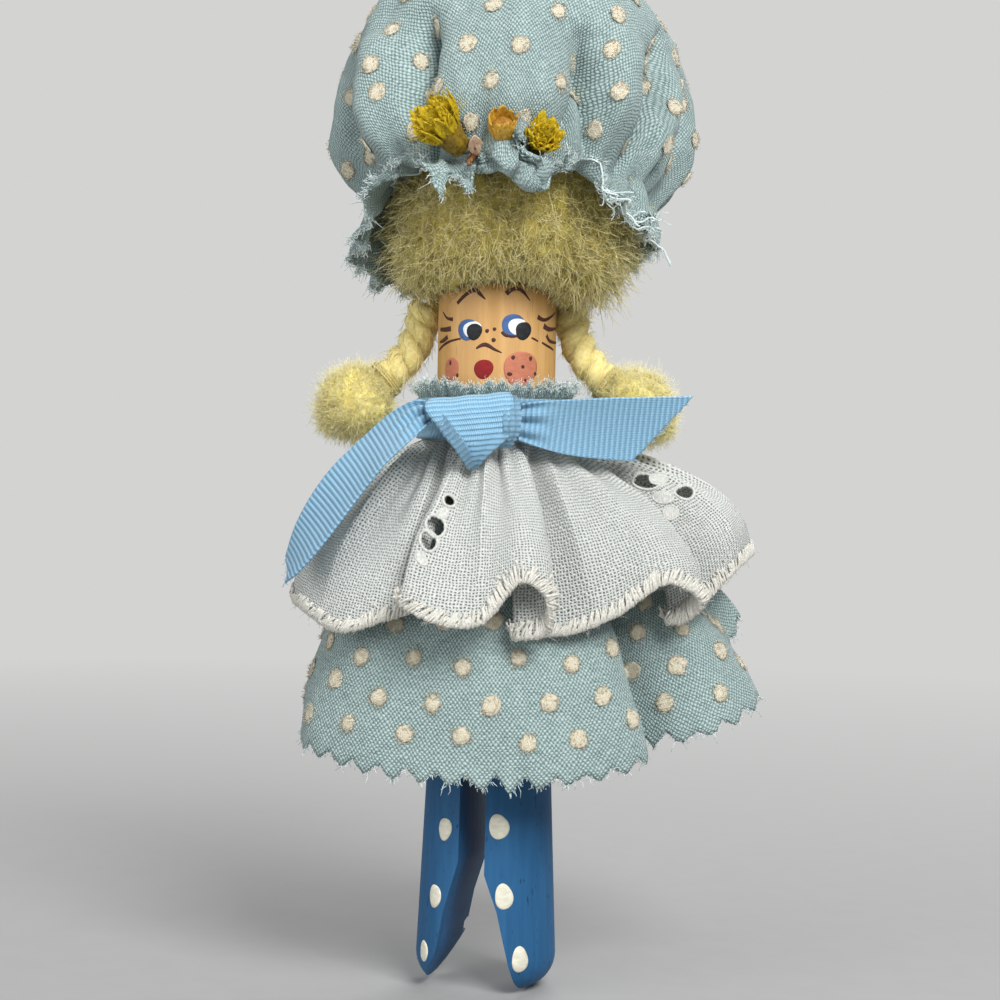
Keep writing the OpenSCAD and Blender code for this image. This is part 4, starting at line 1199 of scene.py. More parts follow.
def dots_on(grid, spots, radius, rng):
    """Ragged flocked domes on a cloth, at rows and columns of its grid."""
    normals = grid_normals(grid)
    shapes = []
    for spot in spots:
        n = normals[spot]
        p = grid[spot] + n * COTTON_T / 2
        beside = unit(np.cross(n, (0.3, 0.2, 1)))
        above = np.cross(n, beside)
        a = np.linspace(0, 360, DOT_SIDES, endpoint=False) + rng.uniform(0, 30)
        size = radius * rng.uniform(0.85, 1.12) * (1 + rng.normal(0, 0.05, DOT_SIDES))
        squeeze = rng.uniform(0.82, 1.0)
        rings = []
        for share, height in DOT_PROFILE:
            out = size * share * (1 + rng.normal(0, 0.04, DOT_SIDES))
            flat = beside * (out * squeeze * cosd(a))[:, None] + above * (out * sind(a))[:, None]
            rings.append(p + flat + n * (height + rng.normal(0, 0.03, DOT_SIDES))[:, None])
        shapes.append(skin(np.array(rings)))
        a = rng.uniform(0, 360, (FLOCK_HAIRS, 1))
        out = radius * np.sqrt(rng.uniform(0.1, 0.8, (FLOCK_HAIRS, 1)))
        starts = p + beside * out * squeeze * cosd(a) + above * out * sind(a) + n * FLOCK_ROOT
        ways = 0.5 * n + rng.normal(0, 0.6, (FLOCK_HAIRS, 3))
        lengths = rng.uniform(*FLOCK_LONG, FLOCK_HAIRS)
        shapes.append(fibres(starts, ways, lengths, FLOCK_T, 0.3, rng, 2, 0.6)[0])
    return joined(shapes)


def frayed(points, ways, length, width, rng, spread=0.5, curl=0.45, stations=3):
    """Loose threads at a cut edge."""
    ways = unit(ways) + rng.normal(0, spread, ways.shape)
    long = length * rng.gamma(2.0, 0.5, len(points))
    return fibres(points, ways, np.minimum(long, length * 3), width, curl, rng, stations, 0.6)[0]


def dress():
    rng = np.random.default_rng(3)
    low_neck = NECK_Z - RIBBON_W / 2
    rows, hem, run = even_columns(SKIRT_HEM, SKIRT_COLUMNS, SKIRT_HALF_W, SKIRT_HALF_D,
                                  NECK_Z - SKIRT_LEN, SKIRT_LEN)
    gather = rows[:, 0]
    neck = bearing_point(gather, DRESS_NECK_R, low_neck)
    fall = np.linalg.norm(hem - neck, axis=1)
    column = np.arange(SKIRT_COLUMNS)
    uneven = 1 + 0.9 * rough(hem, 5, 11.0)
    tooth = zigzag(column * TEETH / SKIRT_COLUMNS) * TOOTH_H / 2 * uneven
    tooth = tooth + rng.normal(0, TOOTH_STRAY, SKIRT_COLUMNS)
    share = np.linspace(1, 0, SKIRT_STEPS)[:, None] * (1 + tooth / fall)
    skirt = hang(neck, hem, share, rows[:, 4])
    # Soft unevenness of worn cloth, which fades out at the neck
    normal = grid_normals(skirt)
    worn = rough(skirt, SKIRT_WORN_SIZE, 3.0) * SKIRT_WORN_H * np.minimum(1, share * 1.5)
    skirt = skirt + normal * worn[..., None]
    # Fine gathers below the neck
    gathers = np.sin(gather * math.pi / 180 * SKIRT_GATHERS) * SKIRT_GATHER_H
    gathers = gathers * np.clip((0.5 - share) * 2, 0, 1) * np.clip(share * 8, 0, 1)
    skirt = skirt + normal * gathers[..., None]
    # The pinked collar stands out above the ribbon
    ring = np.linspace(0, 1, COLLAR_STEPS + 1)[1:, None]
    ripple = 0.45 * np.sin(gather * math.pi / 180 * 21) + 0.35 * np.sin(gather * math.pi / 180 * 13 + 1)
    ragged = COLLAR_TOOTH_H / 2 * zigzag(column * COLLAR_TEETH / SKIRT_COLUMNS)
    ragged = ragged + 0.7 * rough(neck, 1.3, 7.0) + 0.4 * rough(neck, 4, 2.0)
    lift = np.clip((ring - COLLAR_STAND) / (1 - COLLAR_STAND), 0, 1)
    top = NECK_Z + COLLAR_H + ragged
    collar_r = DRESS_NECK_R + COLLAR_FLARE * lift**1.5 + COLLAR_RIPPLE * lift * (1 + ripple)
    collar_z = low_neck + (top - low_neck) * ring
    collar = bearing_point(np.broadcast_to(gather, collar_r.shape), collar_r, collar_z)
    grid = turned(np.concatenate([skirt, collar]))
    down = np.concatenate([share * fall, -(top - low_neck) * ring])
    obj = cloth("dress_cotton", grid, flat_map(run, down), COTTON_T)
    dress_up(obj, COTTON, replaces=["dress"])

    # Flocked dots in staggered rows
    across = round(run[-1] / DOT_PITCH)
    front = np.argmin(np.abs(hem[:, 0] - DOT_FRONT_X) + (hem[:, 1] > 0) * 99)
    spots = []
    for k in range(DOT_ROW_COUNT):
        rise = DOT_LOWEST + DOT_ROWS * k
        start = run[front] + (k % 2 - 1) * run[-1] / across / 2
        for i in range(across):
            along = (start + (i + rng.normal(0, 0.03)) * run[-1] / across) % run[-1]
            c = int(along / run[-1] * SKIRT_COLUMNS) % SKIRT_COLUMNS
            length = down[:SKIRT_STEPS, c]
            r = np.interp(rise + rng.normal(0, 0.2), length.max() - length, np.arange(SKIRT_STEPS))
            spots.append((int(round(r)), c))
    dots = piece("dress_dots", dots_on(grid, spots, DOT_R, rng), FLOCK)

    # Threads that have come loose at the hem and the collar
    threads_off = []
    for edge, inner, (count, length, width, stray) in ((0, 2, HEM_FRAY), (-1, -3, COLLAR_FRAY)):
        pick = rng.integers(0, SKIRT_COLUMNS, count)
        starts = grid[edge, pick] + rng.normal(0, stray, (count, 3))
        threads_off.append(frayed(starts, grid[edge, pick] - grid[inner, pick], length, width, rng))
    fray = piece("dress_fray", joined(threads_off), LINT)


def on_cloth(grid, normals, row, column, lift):
    """Points over a closed grid of cloth, at whole or broken rows and columns."""
    r = np.clip(np.floor(row).astype(int), 0, len(grid) - 2)
    c = np.floor(column).astype(int)
    up, along = (row - r)[..., None], (column - c)[..., None]
    here, there = c % grid.shape[1], (c + 1) % grid.shape[1]
    lower = lerp(grid[r, here], grid[r, there], along)
    upper = lerp(grid[r + 1, here], grid[r + 1, there], along)
    return lerp(lower, upper, up) + normals[r, here] * np.asarray(lift)[..., None]


def satin_petal(laid, half_w, half_h, turn):
    """Stitches side by side over an oval, and a thread round it; laid puts millimetres on the cloth."""
    t = np.linspace(-1, 1, 7)
    stitches = []
    for share in np.linspace(-0.92, 0.92, SATIN_STITCHES):
        half = half_w * math.sqrt(1 - share**2)
        path = laid(*spun(half * t, half_h * share, turn), 0.1 + 0.1 * (1 - t**2))
        stitches.append(tube(path, SATIN_R, 5))
    a = np.linspace(0, 360, 30, endpoint=False)
    rim = laid(*spun(half_w * cosd(a), half_h * sind(a), turn), np.full(len(a), SATIN_RIM_LIFT))
    return [*stitches, tube(rim, SATIN_RIM_R, 6, closed=True)]


def whipped_edge(grid, run, rng):
    """Slanting stitches over a cord along the hem, and loose fibres on them."""
    line = grid[0]
    along = unit(np.roll(line, -1, 0) - np.roll(line, 1, 0))
    drop = grid[0] - grid[3]
    drop = unit(drop - along * (drop * along).sum(-1, keepdims=True))
    side = np.cross(along, drop)
    stitches = [tube(line + drop * HEM_CORD_DROP, HEM_CORD_R, 8, closed=True)]
    count = int(run[-1] / STITCH_PITCH)
    t = np.linspace(0, 1, 9)
    low = np.interp(t, STITCH_T, STITCH_DOWN)[:, None]
    over = np.interp(t, STITCH_T, STITCH_OUT)[:, None]
    for k in range(count):
        u = (k + rng.uniform(-0.3, 0.3)) * FRILL_COLUMNS / count
        c = int(math.floor(u)) % FRILL_COLUMNS
        at = lerp(line[c], line[(c + 1) % FRILL_COLUMNS], u - math.floor(u))
        slant = (t[:, None] - 0.5) * rng.uniform(0.6, 3.4)
        reach = np.where(low < 0, rng.uniform(0.5, 1.25), rng.uniform(0.7, 1.3))
        path = at + drop[c] * low * reach + side[c] * over + along[c] * slant
        stitches.append(tube(path, STITCH_R * rng.uniform(0.6, 1.4), 5))
    edging = piece("frill_stitches", joined(stitches), EDGE_THREAD,
                   replaces=["frill_edging"])
    hairs, length, width = FRILL_FUZZ
    pick = rng.integers(0, FRILL_COLUMNS, hairs)
    starts = line[pick] + drop[pick] * rng.uniform(-1.4, 0.5, (hairs, 1))
    ways = drop[pick] + side[pick] * rng.normal(0, 1, (hairs, 1))
    fuzz = piece("frill_fray", frayed(starts, ways, length, width, rng), EDGE_THREAD)
    return edging, fuzz


def frill():
    rng = np.random.default_rng(5)
    rows, hem, run = even_columns(FRILL_HEM, FRILL_COLUMNS, FRILL_HALF_W, FRILL_HALF_D,
                                  FRILL_BREAK_Z - FRILL_DROP, FRILL_DROP)
    gather = rows[:, 0]
    neck = bearing_point(gather, FRILL_NECK_R, FRILL_LEAVES_Z)
    fall = np.linalg.norm(hem - neck, axis=1)
    share = np.linspace(1, 0, FRILL_STEPS)[:, None] * np.ones(FRILL_COLUMNS)
    hung = hang(neck, hem, share, rows[:, 4])
    normal = grid_normals(hung)
    # Folds that run far down, and fine gathers that fade out half way
    wander = gather + 5 * sind(gather * 3 + 40)
    folds = FRILL_FOLD_H * (0.5 - np.abs(sind(wander * 8.5 + 20))**0.8)
    gathers = 0.4 + 0.5 * cosd(wander * 38) + 0.35 * cosd(wander * 23 + 60)
    ease = np.clip((0.55 - share) / 0.55, 0, 1) * np.clip(0.25 + share * 9, 0, 1)
    deep = np.clip((1 - share) / 0.6, 0, 1) * np.clip(0.12 + share * 5, 0, 1)
    slack = FRILL_SLACK_H * rough(hung, FRILL_SLACK_SIZE, 1.0) * np.clip(share * 4, 0, 1)
    hung = hung + normal * (gathers * ease + folds * deep + slack)[..., None]
    top = np.linspace(FRILL_LEAVES_Z, FRILL_TOP_Z, FRILL_TUCKS + 1)[1:, None]
    pressed = FRILL_NECK_R + FRILL_PRESSED + 0.22 * gathers * np.clip((FRILL_TOP_Z - top) / 4, 0, 1)
    tucked = bearing_point(np.broadcast_to(gather, pressed.shape), pressed, top)
    grid = turned(np.concatenate([hung, tucked]))
    down = np.concatenate([share * fall, np.broadcast_to(FRILL_LEAVES_Z - top, pressed.shape)])
    normals = grid_normals(grid)

    # Eyelets: those that the photograph shows are found by their pixels
    shown = picture_place(grid[:FRILL_STEPS])
    holes = [(*nearest_spot(*shown, x, y), half_w, half_h) for x, y, half_w, half_h in EYELETS]
    for bearing, height in BACK_EYELETS:
        c = int(np.argmin(np.abs(apart(gather, bearing))))
        holes.append((int(FRILL_STEPS * (1 - height)), c, *BACK_EYELET))

    def pitch(r, c):
        around = np.linalg.norm(grid[r, (c + 3) % FRILL_COLUMNS] - grid[r, c - 3]) / 6
        return around, np.linalg.norm(grid[r + 2, c] - grid[r - 2, c]) / 4

    def layer(r, c):
        around, step = pitch(r, c)
        return lambda u, v, lift: on_cloth(grid, normals, r + v / step, c + u / around, lift)

    keep = np.ones((len(grid) - 1, FRILL_COLUMNS), bool)
    at_row, at_column = np.indices(keep.shape) + 0.5
    a = np.linspace(0, 360, RIM_STEPS, endpoint=False)
    reach = 1.08 + 0.03 * sind(a * 3)
    rims = []
    for r, c, half_w, half_h in holes:
        around, step = pitch(r, c)
        aside = ((at_column - c + FRILL_COLUMNS / 2) % FRILL_COLUMNS - FRILL_COLUMNS / 2) * around
        keep &= (aside / half_w)**2 + ((at_row - r) * step / half_h)**2 > 1
        rim = layer(r, c)(half_w * reach * cosd(a), half_h * reach * sind(a), np.full(RIM_STEPS, RIM_LIFT))
        rims.append(tube(rim, RIM_R + RIM_TWIST * sind(a * 24), 6, closed=True))
    for x, y, half_w, half_h, turn in SATIN_PETALS:
        rims += satin_petal(layer(*nearest_spot(*shown, x, y)), half_w, half_h, turn)
    obj = cloth("eyelet_cotton", grid, flat_map(run, down), FRILL_T, keep=keep.reshape(-1))
    dress_up(obj, EYELET, replaces=["eyelet_frill"])
    rim_obj = piece("eyelet_rims", joined(rims), SATIN)
    edging, fuzz = whipped_edge(grid, run, rng)


dress()
frill()


# Ribbon

def strip(name, centre, wide, thick, half, run, fold=0.0, curve=0.0, cut_slant=0.0, across=RIBBON_COLUMNS):
    """A ribbed ribbon along a line of points, with the half width and the lengthwise folds at each."""
    c = np.linspace(-1, 1, across)
    rib = RIB_LIFT * np.cos(2 * np.pi * run / RIB)[:, None]
    edge = np.where(np.abs(c) > SELVEDGE, 0.0, 1.0)
    off = rib * edge + np.asarray(fold)[..., None] * np.cos(c * 2.6 * np.pi)
    off = off + np.asarray(curve)[..., None] * (1 - c**2)
    grid = centre[:, None] + wide[:, None] * (half[:, None] * c)[..., None] + thick[:, None] * off[..., None]
    left = run[-1] - run[:-1, None] - cut_slant * (1 + (c[1:] + c[:-1]) / 2)
    flat = np.stack(np.broadcast_arrays(c[None] * RIBBON_W / 2, run[:, None]), -1)
    return cloth(name, grid, flat, RIBBON_T, closed=False, keep=(left > 0).reshape(-1)), grid


def ribbed_line(table, place, fine):
    """Shares of a table at even steps along its line, with the line's points, its rows and its run there."""
    share = np.linspace(0, 1, fine)
    run = run_along(place(share))
    q = np.interp(np.arange(0, run[-1], RIB_STEP), run, share)
    return q, place(q), open_at(table, q), np.interp(q, share, run)


def tail(side, table, size, start, cut_slant, seed):
    """A tail that leaves the knot, bends, and is cut at a slant; its loose threads go on the tail's own body.
    """
    name, body = "tail_" + side, side + "_tail"
    rng = np.random.default_rng(seed)
    reach, front, rise = size

    def place(share):
        return np.array(start, float) + (open_at(table, share)[:, :3] - (0, 1, 0)) * (reach, -front, rise)
    q, line, rows, run = ribbed_line(table, place, TAIL_FINE)
    along = unit(np.gradient(line, axis=0))
    beside = unit(np.cross((0, 1, 0), along))
    twist = rows[:, 3:4]
    wide = beside * cosd(twist) + np.cross(along, beside) * sind(twist)
    thick = np.cross(along, wide)
    fold = np.clip(0.85 - rows[:, 4], 0, 1) * 1.3 * np.clip((0.4 - q) * 6, 0, 1)
    obj, grid = strip(name, turned(line), turned(wide), turned(thick), rows[:, 4] * RIBBON_W / 2, run, fold,
                      TAIL_CURVE * np.sin(q * 3), cut_slant)
    dress_up(obj, GROSGRAIN, body=None, replaces=["ribbon_tail_" + side])
    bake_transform(obj)
    count, long, width = TAIL_FRAY
    pick = rng.integers(0, grid.shape[1], count)
    back = 2 * cut_slant * pick / (grid.shape[1] - 1) / RIB_STEP
    last = np.clip(len(grid) - 1 - back.astype(int), 0, len(grid) - 1)
    fray = frayed(grid[last, pick], turned(along)[last], long, width, rng, spread=0.35)
    piece(name + "_fray", fray, RIBBON_LINT, body)


def neck_band():
    around = np.arange(0, 360, 360 / BAND_COLUMNS)
    run = np.radians(around) * BAND_R
    ring_r = BAND_R + RIB_LIFT * np.cos(2 * np.pi * run * BAND_RIBS / run[-1])
    heights = np.linspace(-BAND_HALF, BAND_HALF, BAND_STEPS)[:, None]
    folds = BAND_FOLD_H * np.cos(heights * 2.2)
    grid = bearing_point(around[None], ring_r[None] + folds, NECK_Z + BAND_RISE + heights)
    whole = np.append(run, 2 * math.pi * BAND_R)[None]
    flat = np.stack(np.broadcast_arrays(heights * RIBBON_W / 2 / BAND_HALF, whole), -1)
    dress_up(cloth("neck_band", grid, flat, RIBBON_T), GROSGRAIN, replaces=["ribbon_band"])


def knot_strip(name, table, slope, replaces=()):
    """A turn of ribbon in the knot, by its table and the slope of its width."""
    def place(share):
        return open_at(table, share)[:, [2, 0, 1]] * (1, -1, 1) + (0, -KNOT_BACK, NECK_Z)
    _, line, rows, run = ribbed_line(table, place, KNOT_FINE)
    wide = np.broadcast_to((cosd(slope), 0, sind(slope)), line.shape)
    thick = unit(np.cross(unit(np.gradient(line, axis=0)), wide))
    obj, _ = strip(name, turned(line), turned(wide), turned(thick), rows[:, 3] / 2, run, rows[:, 4],
                   across=KNOT_COLUMNS)
    dress_up(obj, GROSGRAIN, replaces=replaces)


tail("right", TAIL_RIGHT, TAIL_RIGHT_SIZE, (TAIL_RIGHT_START, -TAIL_FRONT, NECK_Z),
     TAIL_RIGHT_CUT, 11)
tail("left", TAIL_LEFT, TAIL_LEFT_SIZE, (TAIL_LEFT_START, -TAIL_FRONT, NECK_Z + RIBBON_W / 6),
     TAIL_LEFT_CUT, 13)
neck_band()
knot_strip("knot_wrap", KNOT, KNOT_SLOPE, ["ribbon_knot"])
knot_strip("knot_fold", KNOT_FOLD, KNOT_FOLD_SLOPE)
knot_strip("knot_ridge", KNOT_RIDGE, 0)


# Hair

def swell(v):
    return np.sign(v) * np.abs(v)**FRINGE_ROUND


def fringe():
    rng = np.random.default_rng(17)
    around = np.linspace(0, 360, FRINGE_COLUMNS, endpoint=False)
    rise = np.linspace(-88, 88, FRINGE_STEPS)[:, None]
    out, up = swell(cosd(rise)), swell(sind(rise))
    middle = np.array([FRINGE_X, -FRINGE_FRONT, FRINGE_MID_Z])
    grid = np.stack(np.broadcast_arrays(
        FRINGE_X + FRINGE_W / 2 * out * sind(around),
        -FRINGE_FRONT - FRINGE_D / 2 * out * cosd(around),
        FRINGE_MID_Z + FRINGE_H / 2 * up + FRINGE_SAG * np.minimum(0, up) * sind(around)**2,
    ), -1)
    lumps = 0.6 * rough(grid, 3.2) + 0.6 * rough(grid, 1.3, 5.0) + 0.3 * rough(grid, 0.6, 9.0) - FRINGE_SINK
    grid = grid + unit(grid - middle) * lumps[..., None]
    # It lies on the head and under the cap
    over_head = np.hypot(grid[..., 0], grid[..., 1]) < PIN_R + 0.5
    grid[..., 2] = np.where(over_head, np.maximum(grid[..., 2], PIN_LEN + HEAD_GAP), grid[..., 2])
    ceiling = CAP_AT[2] + (HAIR_CEILING - (grid[..., 1] - CAP_AT[1]) * sind(CAP_TILT)) / cosd(CAP_TILT)
    grid[..., 2] = np.minimum(grid[..., 2], ceiling)
    normals = grid_normals(grid)
    # The core takes the hairs' root tone, the painted shade deep in the pile.
    piece("fringe_core", skin(turned(grid)), FLEECE, replaces=["hair_fringe"],
          tip=np.zeros(grid.size // 3))

    # Pile: hairs on all that the cap leaves open
    area = np.linalg.norm(np.cross(np.gradient(grid, axis=1), np.gradient(grid, axis=0)), axis=-1)
    seen = (grid[..., 2] < ceiling - 0.2) & ~over_head
    weight = (area * seen).reshape(-1)
    pick = rng.choice(len(weight), FRINGE_HAIRS, p=weight / weight.sum())
    starts = grid.reshape(-1, 3)[pick] + rng.normal(0, HAIR_ROOT, (FRINGE_HAIRS, 3))
    face = normals.reshape(-1, 3)[pick]
    locks = np.stack([rough(starts, 1.5, seed) for seed in (2.0, 6.0, 11.0)], -1)
    ways = face * 0.7 + 1.3 * locks + rng.normal(0, 0.4, face.shape) + np.array([0, 0, -0.15])
    lengths = rng.uniform(*PILE_LONG, FRINGE_HAIRS)
    # Longer locks hang over the pile, short of the brows
    hanging = face * 0.6 + 1.1 * locks + rng.normal(0, 0.2, face.shape) + np.array([0, 0, -0.75])
    ways[:FRINGE_LOCKS] = hanging[:FRINGE_LOCKS]
    x, _, z = starts[:FRINGE_LOCKS].T
    room = z - (FRINGE_MID_Z - FRINGE_H / 2) + np.maximum(0, np.abs(x) - PIN_R)
    lengths[:FRINGE_LOCKS] = np.clip(room, LOCK_LEAST, rng.uniform(*LOCK_LONG, FRINGE_LOCKS))
    shape, tip = fibres(turned(starts), turned(ways), lengths, FRINGE_HAIR_T, 0.7, rng, 3, 0.6)
    piece("fringe_pile", shape, FLEECE, tip=tip)


def plait_line(side, share):
    rows = open_at(PLAIT, share)
    x, y, z = PLAIT_ROOT
    right = side * (x + rows[:, 0] * PLAIT_REACH)
    return np.stack([right, y - rows[:, 1] * PLAIT_LEAD, z - rows[:, 2] * PLAIT_DROP], -1)


def plait(side, name):
    body = name + "_plait"
    rng = np.random.default_rng(23 + side)
    share = np.linspace(-PLAIT_HIDDEN, 1, PLAIT_STEPS)
    line = plait_line(side, np.clip(share, 0, 1))
    line[:, 2] += np.clip(-share, 0, 1) * PLAIT_CLIMB
    along, beside, above = frames(line)
    strands = []
    for start in (0, 180):
        a = (start + side * 360 * PLAIT_TURNS * share)[:, None]
        close = np.clip((share + 0.22) / 0.14, 0.25, 1)[:, None]
        path = line + PLAIT_R * STRAND_OUT * close * (beside * cosd(a) + above * sind(a))
        lumps = 1 + 0.08 * np.sin(share * 40 + start)
        strands.append((path, PLAIT_R * STRAND_SHARE * lumps * close[:, 0]))
    shape = joined([tube(turned(p), r, STRAND_SIDES) for p, r in strands])
    piece("plait_" + name + "_strands", shape, STRAND, body, ["plait_" + name])

    # Fibres that lie along the twisted strands, and strays
    starts, ways = [], []
    for path, r in strands:
        way, b, v = frames(path)
        pick = rng.integers(0, len(path) - 8, STRAND_HAIRS)
        a = rng.uniform(0, 360, (STRAND_HAIRS, 1))
        out = b[pick] * cosd(a) + v[pick] * sind(a)
        stray = out * rng.uniform(-0.1, 0.12, (STRAND_HAIRS, 1))
        starts.append(path[pick] + out * r[pick, None])
        ways.append(way[pick] + 0.5 * np.cross(way[pick], out) + stray)
    starts, ways = np.concatenate(starts), np.concatenate(ways)
    lengths = rng.uniform(*STRAND_HAIR_LONG, len(starts))
    shape, tip = fibres(turned(starts), turned(ways), lengths, STRAND_HAIR_T, 0.12, rng)
    piece("plait_" + name + "_fibres", shape, ROVING, body, tip=0.4 + 0.6 * tip)

    # The tuft below the tie
    end, way = line[-1], along[-1]
    across = unit(np.cross(way, (0, 1, 0)))
    depth = np.cross(way, across)
    a = np.linspace(0, 360, TUFT_COLUMNS, endpoint=False)[:, None]
    rings = []
    for s in np.linspace(0.02, 0.99, TUFT_STEPS):
        r = TUFT_CORE * TUFT_D / 2 * math.sin(math.pi * s)
        centre = end + way * TUFT_LEN * (TUFT_MID - TUFT_CORE * 0.55 * math.cos(math.pi * s))
        rings.append(centre + r * (across * cosd(a) + depth * sind(a)))
    grid = np.array(rings)
    middle = end + way * TUFT_LEN * TUFT_MID
    lumps = 0.7 * rough(grid, 2.6, side * 3.0) + 0.35 * rough(grid, 1.0, 4.0) + 0.15 * rough(grid, 0.5)
    grid = grid + unit(grid - middle) * lumps[..., None]
    # The core is painted partly in the root tone, as shade inside the tuft.
    piece("tuft_" + name + "_core", skin(turned(grid)), ROVING, body, ["tuft_" + name],
          np.full(grid.size // 3, 0.5))
    pick = rng.integers(0, grid.size // 3, TUFT_HAIRS)
    starts = grid.reshape(-1, 3)[pick] + rng.normal(0, HAIR_ROOT, (TUFT_HAIRS, 3))
    ways = unit(starts - middle) + rng.normal(0, 0.7, (TUFT_HAIRS, 3))
    lengths = rng.uniform(*TUFT_HAIR_LONG, TUFT_HAIRS)
    shape, tip = fibres(turned(starts), turned(ways), lengths, TUFT_HAIR_T, 0.7, rng, 3, 0.6)
    piece("tuft_" + name + "_wool", shape, ROVING, body, tip=tip)

    # The tie: turns of thread
    turns = np.linspace(0, TIE_TURNS * 360, TIE_STEPS)[:, None]
    coil = TIE_COIL_R * (across * cosd(turns) + depth * sind(turns))
    coil = coil + plait_line(side, np.full(1, TIE_SHARE)) + way * (turns / 360 - TIE_TURNS / 2) * TIE_PITCH
    piece("tie_" + name, tube(turned(coil), TIE_R, 6), TIE, body, ["plait_tie_" + name])


fringe()
plait(-1, "left")
plait(1, "right")


# Mob cap

def pleat(b):
    return PLEAT * cosd(PLEATS * b) + PLEAT_UNEVEN * cosd((PLEATS / 2 + 1) * b)


def crown_point(b, rise, grow=0.0):
    """Points of the crown at bearings and rises, grown by a length; pleats and creases fade out upward."""
    up = np.maximum(0, (rise + GATHER_RISE) / (90 + GATHER_RISE))
    fade = 1 - up**0.8
    fine = 0.022 * cosd(19 * b + 40) + 0.018 * cosd(29 * b + 110) + 0.012 * cosd(43 * b)
    fine = fine * np.clip(1 - up * 4, 0, 1)
    for at, depth, width, lean, reach in CAP_CREASES:
        off = np.abs(apart(b - at, lean * up / reach)) / width
        dent = 0.3 * np.exp(-(off - 2.8)**2 / 3) - 0.6 / (1 + off**2) - 0.6 * np.exp(-2 * off)
        fine = fine + depth * dent * np.clip((reach - up) / 0.14, 0, 1) * np.clip(0.2 + up * 10, 0, 1)
    puff = 0.07 * np.exp(-((up - 0.12) / 0.08)**2)
    r = CROWN_EASE * cosd(rise) * (1 + 0.5 * pleat(b) * fade + fine + puff)
    z = CROWN_LOW_H + sind(rise) * np.where(rise < 0, CROWN_LOW_R, CROWN_TOP_H + grow)
    x = (CROWN_HALF_W + grow) * r * sind(b)
    y = -(CROWN_HALF_D + grow) * r * cosd(b)
    return np.stack(np.broadcast_arrays(x, y, z), -1)


def ruffle_point(b, share):
    """The ruffle hangs, stands out at the left of the front, and is crumpled and turned up at the middle."""
    lift = RUFFLE_LIFT * np.maximum(0, cosd(b - RUFFLE_LIFT_BEARING))**3
    to_right = np.maximum(0, sind(b))
    wave = 1 + RUFFLE_WAVE * share * cosd(PLEATS * b * 2) + 0.02 * share * cosd(PLEATS * b * 3.4 + 50)
    edge = crown_point(b, np.full_like(b, -GATHER_RISE))
    out = RUFFLE_FLARE * share * (1 + lift) * (1 - 0.7 * to_right)
    down = RUFFLE_H * share * (1 - lift) * (1 - RUFFLE_RIGHT * to_right)
    ahead = apart(b, 0)
    at, far, low, sag = np.array(RUFFLE_FRONT).T
    front = np.clip((ahead - at[0]) / 8, 0, 1) * np.clip((at[-1] - ahead) / 12, 0, 1)
    out = lerp(out, np.interp(ahead, at, far) * share**0.7, front)
    front_down = np.interp(ahead, at, low) * share + np.interp(ahead, at, sag) * sind(180 * share)
    down = lerp(down, front_down, front) - 0.4 * share * cosd(b * 17)
    place = np.stack([edge[..., 0] * wave + sind(b) * out, edge[..., 1] * wave - cosd(b) * out, -down], -1)
    crumple = np.stack([rough(place, 2.2, seed) for seed in (1.0, 5.0, 9.0)], -1)
    return place + crumple * (CRUMPLE * share * (0.25 + 0.75 * front))[..., None]


